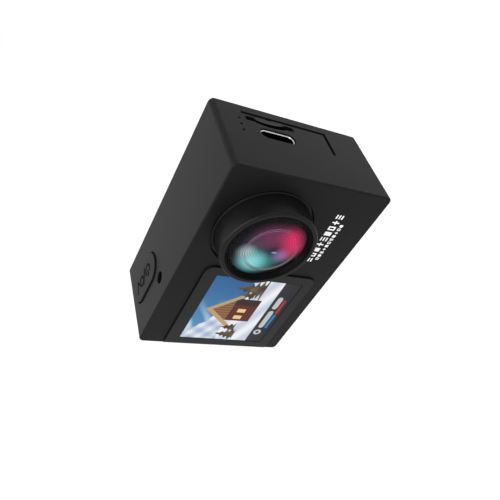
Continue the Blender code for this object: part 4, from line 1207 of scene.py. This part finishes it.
def makeMemoryCard():
    low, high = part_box("memory_card")
    card = slabPiece("memoryCardBody", low, high, 1, 0.5 * mm, 5)
    bevelEdges(card, atLevel(1, low.y), 0.06 * mm, 2)
    bevelEdges(card, atLevel(1, high.y), 0.06 * mm, 2)
    smooth(card)
    return finishPiece(card, deepBlack, "memory_card", ["memory_card"])


makeUsbPort()
makeMemoryCard()
print("stage: ports made")


def makeModeButton():
    low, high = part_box("mode_button")
    middle = (low + high) / 2
    face = low.x
    half = (2.0 * mm, 4.5 * mm)
    flangeX = face + 2.1 * mm
    body = slabPiece("modeButtonCap", (face, middle.y - half[0], middle.z - half[1]),
                     (flangeX + 0.2 * mm, middle.y + half[0], middle.z + half[1]),
                     0, half[0] - 0.005 * mm, 14, [(face, 0.35 * mm, 5)])
    grow = 0.7 * mm
    plate = slabPiece("plate", (flangeX + 0.05 * mm, middle.y - half[0] - grow, middle.z - half[1] - grow),
                      (flangeX + 0.35 * mm, middle.y + half[0] + grow, middle.z + half[1] + grow),
                      0, half[0] + grow - 0.005 * mm, 14)
    stem = turnedPiece("stem", [(0.8 * mm, flangeX + 0.2 * mm), (0.8 * mm, high.x)],
                       (middle.y, middle.z), "X", 24, False)
    boolPiece(body, [plate, stem], "UNION")
    smooth(body)
    return finishPiece(body, buttonPlastic, "mode_button", ["mode_button"])


doorSettings = {"hinge": (-24.0 * mm, 1.0 * mm), "knuckle": 0.85 * mm, "corner": 0.3 * mm}


# A plate with a round knuckle along its hinge side and a sunk channel for the latch.
def makeBatteryDoor():
    low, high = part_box("battery_door")
    hingeX, hingeZ = doorSettings["hinge"]
    plateHigh = 1.6 * mm
    plate = boxPiece("batteryDoorPlate", (hingeX, low.y, low.z), (high.x, high.y, plateHigh))
    bevelEdges(plate, atLevel(2, low.z), 0.08 * mm, 2)
    knuckle = turnedPiece("knuckle", [(doorSettings["knuckle"], low.y), (doorSettings["knuckle"], high.y)],
                          (hingeX, hingeZ), "Y", 48, False)
    boolPiece(plate, [knuckle], "UNION")
    bore = turnedPiece("cutter", [(0.5 * mm, low.y - 1 * mm), (0.5 * mm, high.y + 1 * mm)],
                       (hingeX, hingeZ), "Y", 32, False)
    latchLow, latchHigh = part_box("door_latch")
    channel = boxPiece("cutter", (latchLow.x - 0.4 * mm, latchLow.y - 0.2 * mm, -1 * mm),
                       (high.x + 1 * mm, latchHigh.y + 0.2 * mm, latchHigh.z + 0.1 * mm))
    boolPiece(plate, [bore, channel])
    smooth(plate)
    return finishPiece(plate, shellPlastic, "battery_door", ["battery_door"])


def makeLatch():
    low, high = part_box("door_latch")
    barLow = 0.55 * mm
    latch = boxPiece("doorLatchSlider", (low.x, low.y, barLow), high)
    bevelEdges(latch, along(2), 0.25 * mm, 3)
    ridges = []
    for index in range(4):
        x = low.x + (0.6 + 0.75 * index) * mm
        ridge = boxPiece("ridge", (x, low.y + 0.5 * mm, low.z),
                         (x + 0.35 * mm, high.y - 0.5 * mm, barLow + 0.1 * mm))
        bevelEdges(ridge, atLevel(2, low.z), 0.1 * mm, 2)
        ridges.append(ridge)
    boolPiece(latch, ridges, "UNION")
    smooth(latch)
    return finishPiece(latch, buttonPlastic, "door_latch", ["door_latch"])


makeModeButton()
makeBatteryDoor()
makeLatch()
print("stage: side button, battery door and latch made")


def makeRearCover():
    low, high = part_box("rear_cover")
    glassLow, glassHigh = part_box("rear_glass")
    displayLow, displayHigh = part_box("rear_display")
    cover = slabPiece("rearCoverFrame", low, high, 1, 1.0 * mm, 6, [(high.y, 0.12 * mm, 2)])
    gap = 0.25 * mm
    pocket = flaredSlab((glassLow.x - gap, glassLow.y - 0.1 * mm, glassLow.z - gap),
                        (glassHigh.x + gap, high.y + 1 * mm, glassHigh.z + gap),
                        1, 1, 2.0 * mm, 10, high.y, 0.1 * mm)
    margin = 0.3 * mm
    window = boxPiece("cutter", (displayLow.x - margin, low.y - 1 * mm, displayLow.z - margin),
                      (displayHigh.x + margin, high.y + 1 * mm, displayHigh.z + margin))
    boolPiece(cover, [pocket, window])
    holes = []
    for index in range(1, 5):
        screwLow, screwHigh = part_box(f"cover_screw_{index}")
        centre = ((screwLow.x + screwHigh.x) / 2, (screwLow.z + screwHigh.z) / 2)
        seat = screwLow.y + 4.1 * mm  # where the narrow hole widens for the screw's head
        profile = [(0.8 * mm, low.y - 1 * mm), (0.8 * mm, seat),
                   (1.15 * mm, seat), (1.15 * mm, high.y + 1 * mm)]
        holes.append(turnedPiece("cutter", profile, centre, "Y", 32, False))
    boolPiece(cover, holes)
    smooth(cover)
    return finishPiece(cover, shellPlastic, "camera_body", ["rear_cover"])


# Black bonded glass: the picture area is a shade lighter than its border.
def glassMaterial():
    border, soft = 0.8 * mm, 0.03 * mm
    material, tree, shader = newMaterial("rearGlassBlack", (0.004, 0.004, 0.005), 0.06)
    coords = objectCoords(tree)
    displayLow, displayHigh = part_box("rear_display")
    fromMiddle = vectorNode(tree, "SUBTRACT", coords, (displayLow + displayHigh) / 2)
    size = axisParts(tree, vectorNode(tree, "ABSOLUTE", fromMiddle))
    half = (displayHigh - displayLow) / 2
    across = mapRange(tree, size["X"], half.x - border - soft, half.x - border + soft, 1.0, 0.0)
    upward = mapRange(tree, size["Z"], half.z - border - soft, half.z - border + soft, 1.0, 0.0)
    inPicture = mathNode(tree, "MULTIPLY", across, upward)
    shade = mixColours(tree, inPicture, (0.003, 0.003, 0.004), (0.010, 0.011, 0.013))
    feed(tree, shader.inputs["Base Color"], shade)
    smears = noiseNode(tree, coords, 130, 5)
    feed(tree, shader.inputs["Roughness"], mapRange(tree, smears, 0.35, 0.75, 0.05, 0.16))
    return material


def makeRearGlass():
    low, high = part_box("rear_glass")
    glass = slabPiece("rearTouchGlass", low, high, 1, 1.75 * mm, 10, [(high.y, 0.15 * mm, 4)])
    smooth(glass)
    return finishPiece(glass, glassMaterial(), "camera_body", ["rear_glass"])


makeRearCover()
makeRearGlass()
print("stage: rear cover and glass made")


nodeFinishes = {
    "steel": steelMetal, "aluminium": aluminiumMetal, "brass": brassMetal, "rubber": blackRubber,
    "circuit_board": greenBoard, "chip": chipPlastic, "inner_plastic": innerPlastic,
    "battery_wrap": batteryFilm, "black_metal": barrelMetal, "shell": shellPlastic,
}


def innerGlass():
    material, tree, shader = newMaterial("innerGlass", (0.55, 0.70, 0.75), 0.05)
    varyRoughness(tree, shader, noiseNode(tree, objectCoords(tree), 800, 2), 0.03, 0.08)
    return material


# Painted shade: the microphone and the card socket, seen through their holes, get near-black finishes so
# that the holes read dark.
shadeDarkenedNodes = {"side_microphone": deepBlack, "card_socket": socketShadeMetal}
nodeFinishes["lens_glass"] = innerGlass()
nodeFinishes["display"] = mouldedPlastic("displayBack", (0.020, 0.024, 0.032), 0.22)


def dressNodes():
    slots = {part["node"]: part["material_slot"] for part in frame["record"]["subparts"]}
    for name, node in frame["nodes"].items():
        finish = shadeDarkenedNodes.get(name) or nodeFinishes.get(slots[name])
        if finish is None:
            continue
        node.data.materials.clear()
        node.data.materials.append(finish)


dressNodes()
print("stage: inner parts dressed")
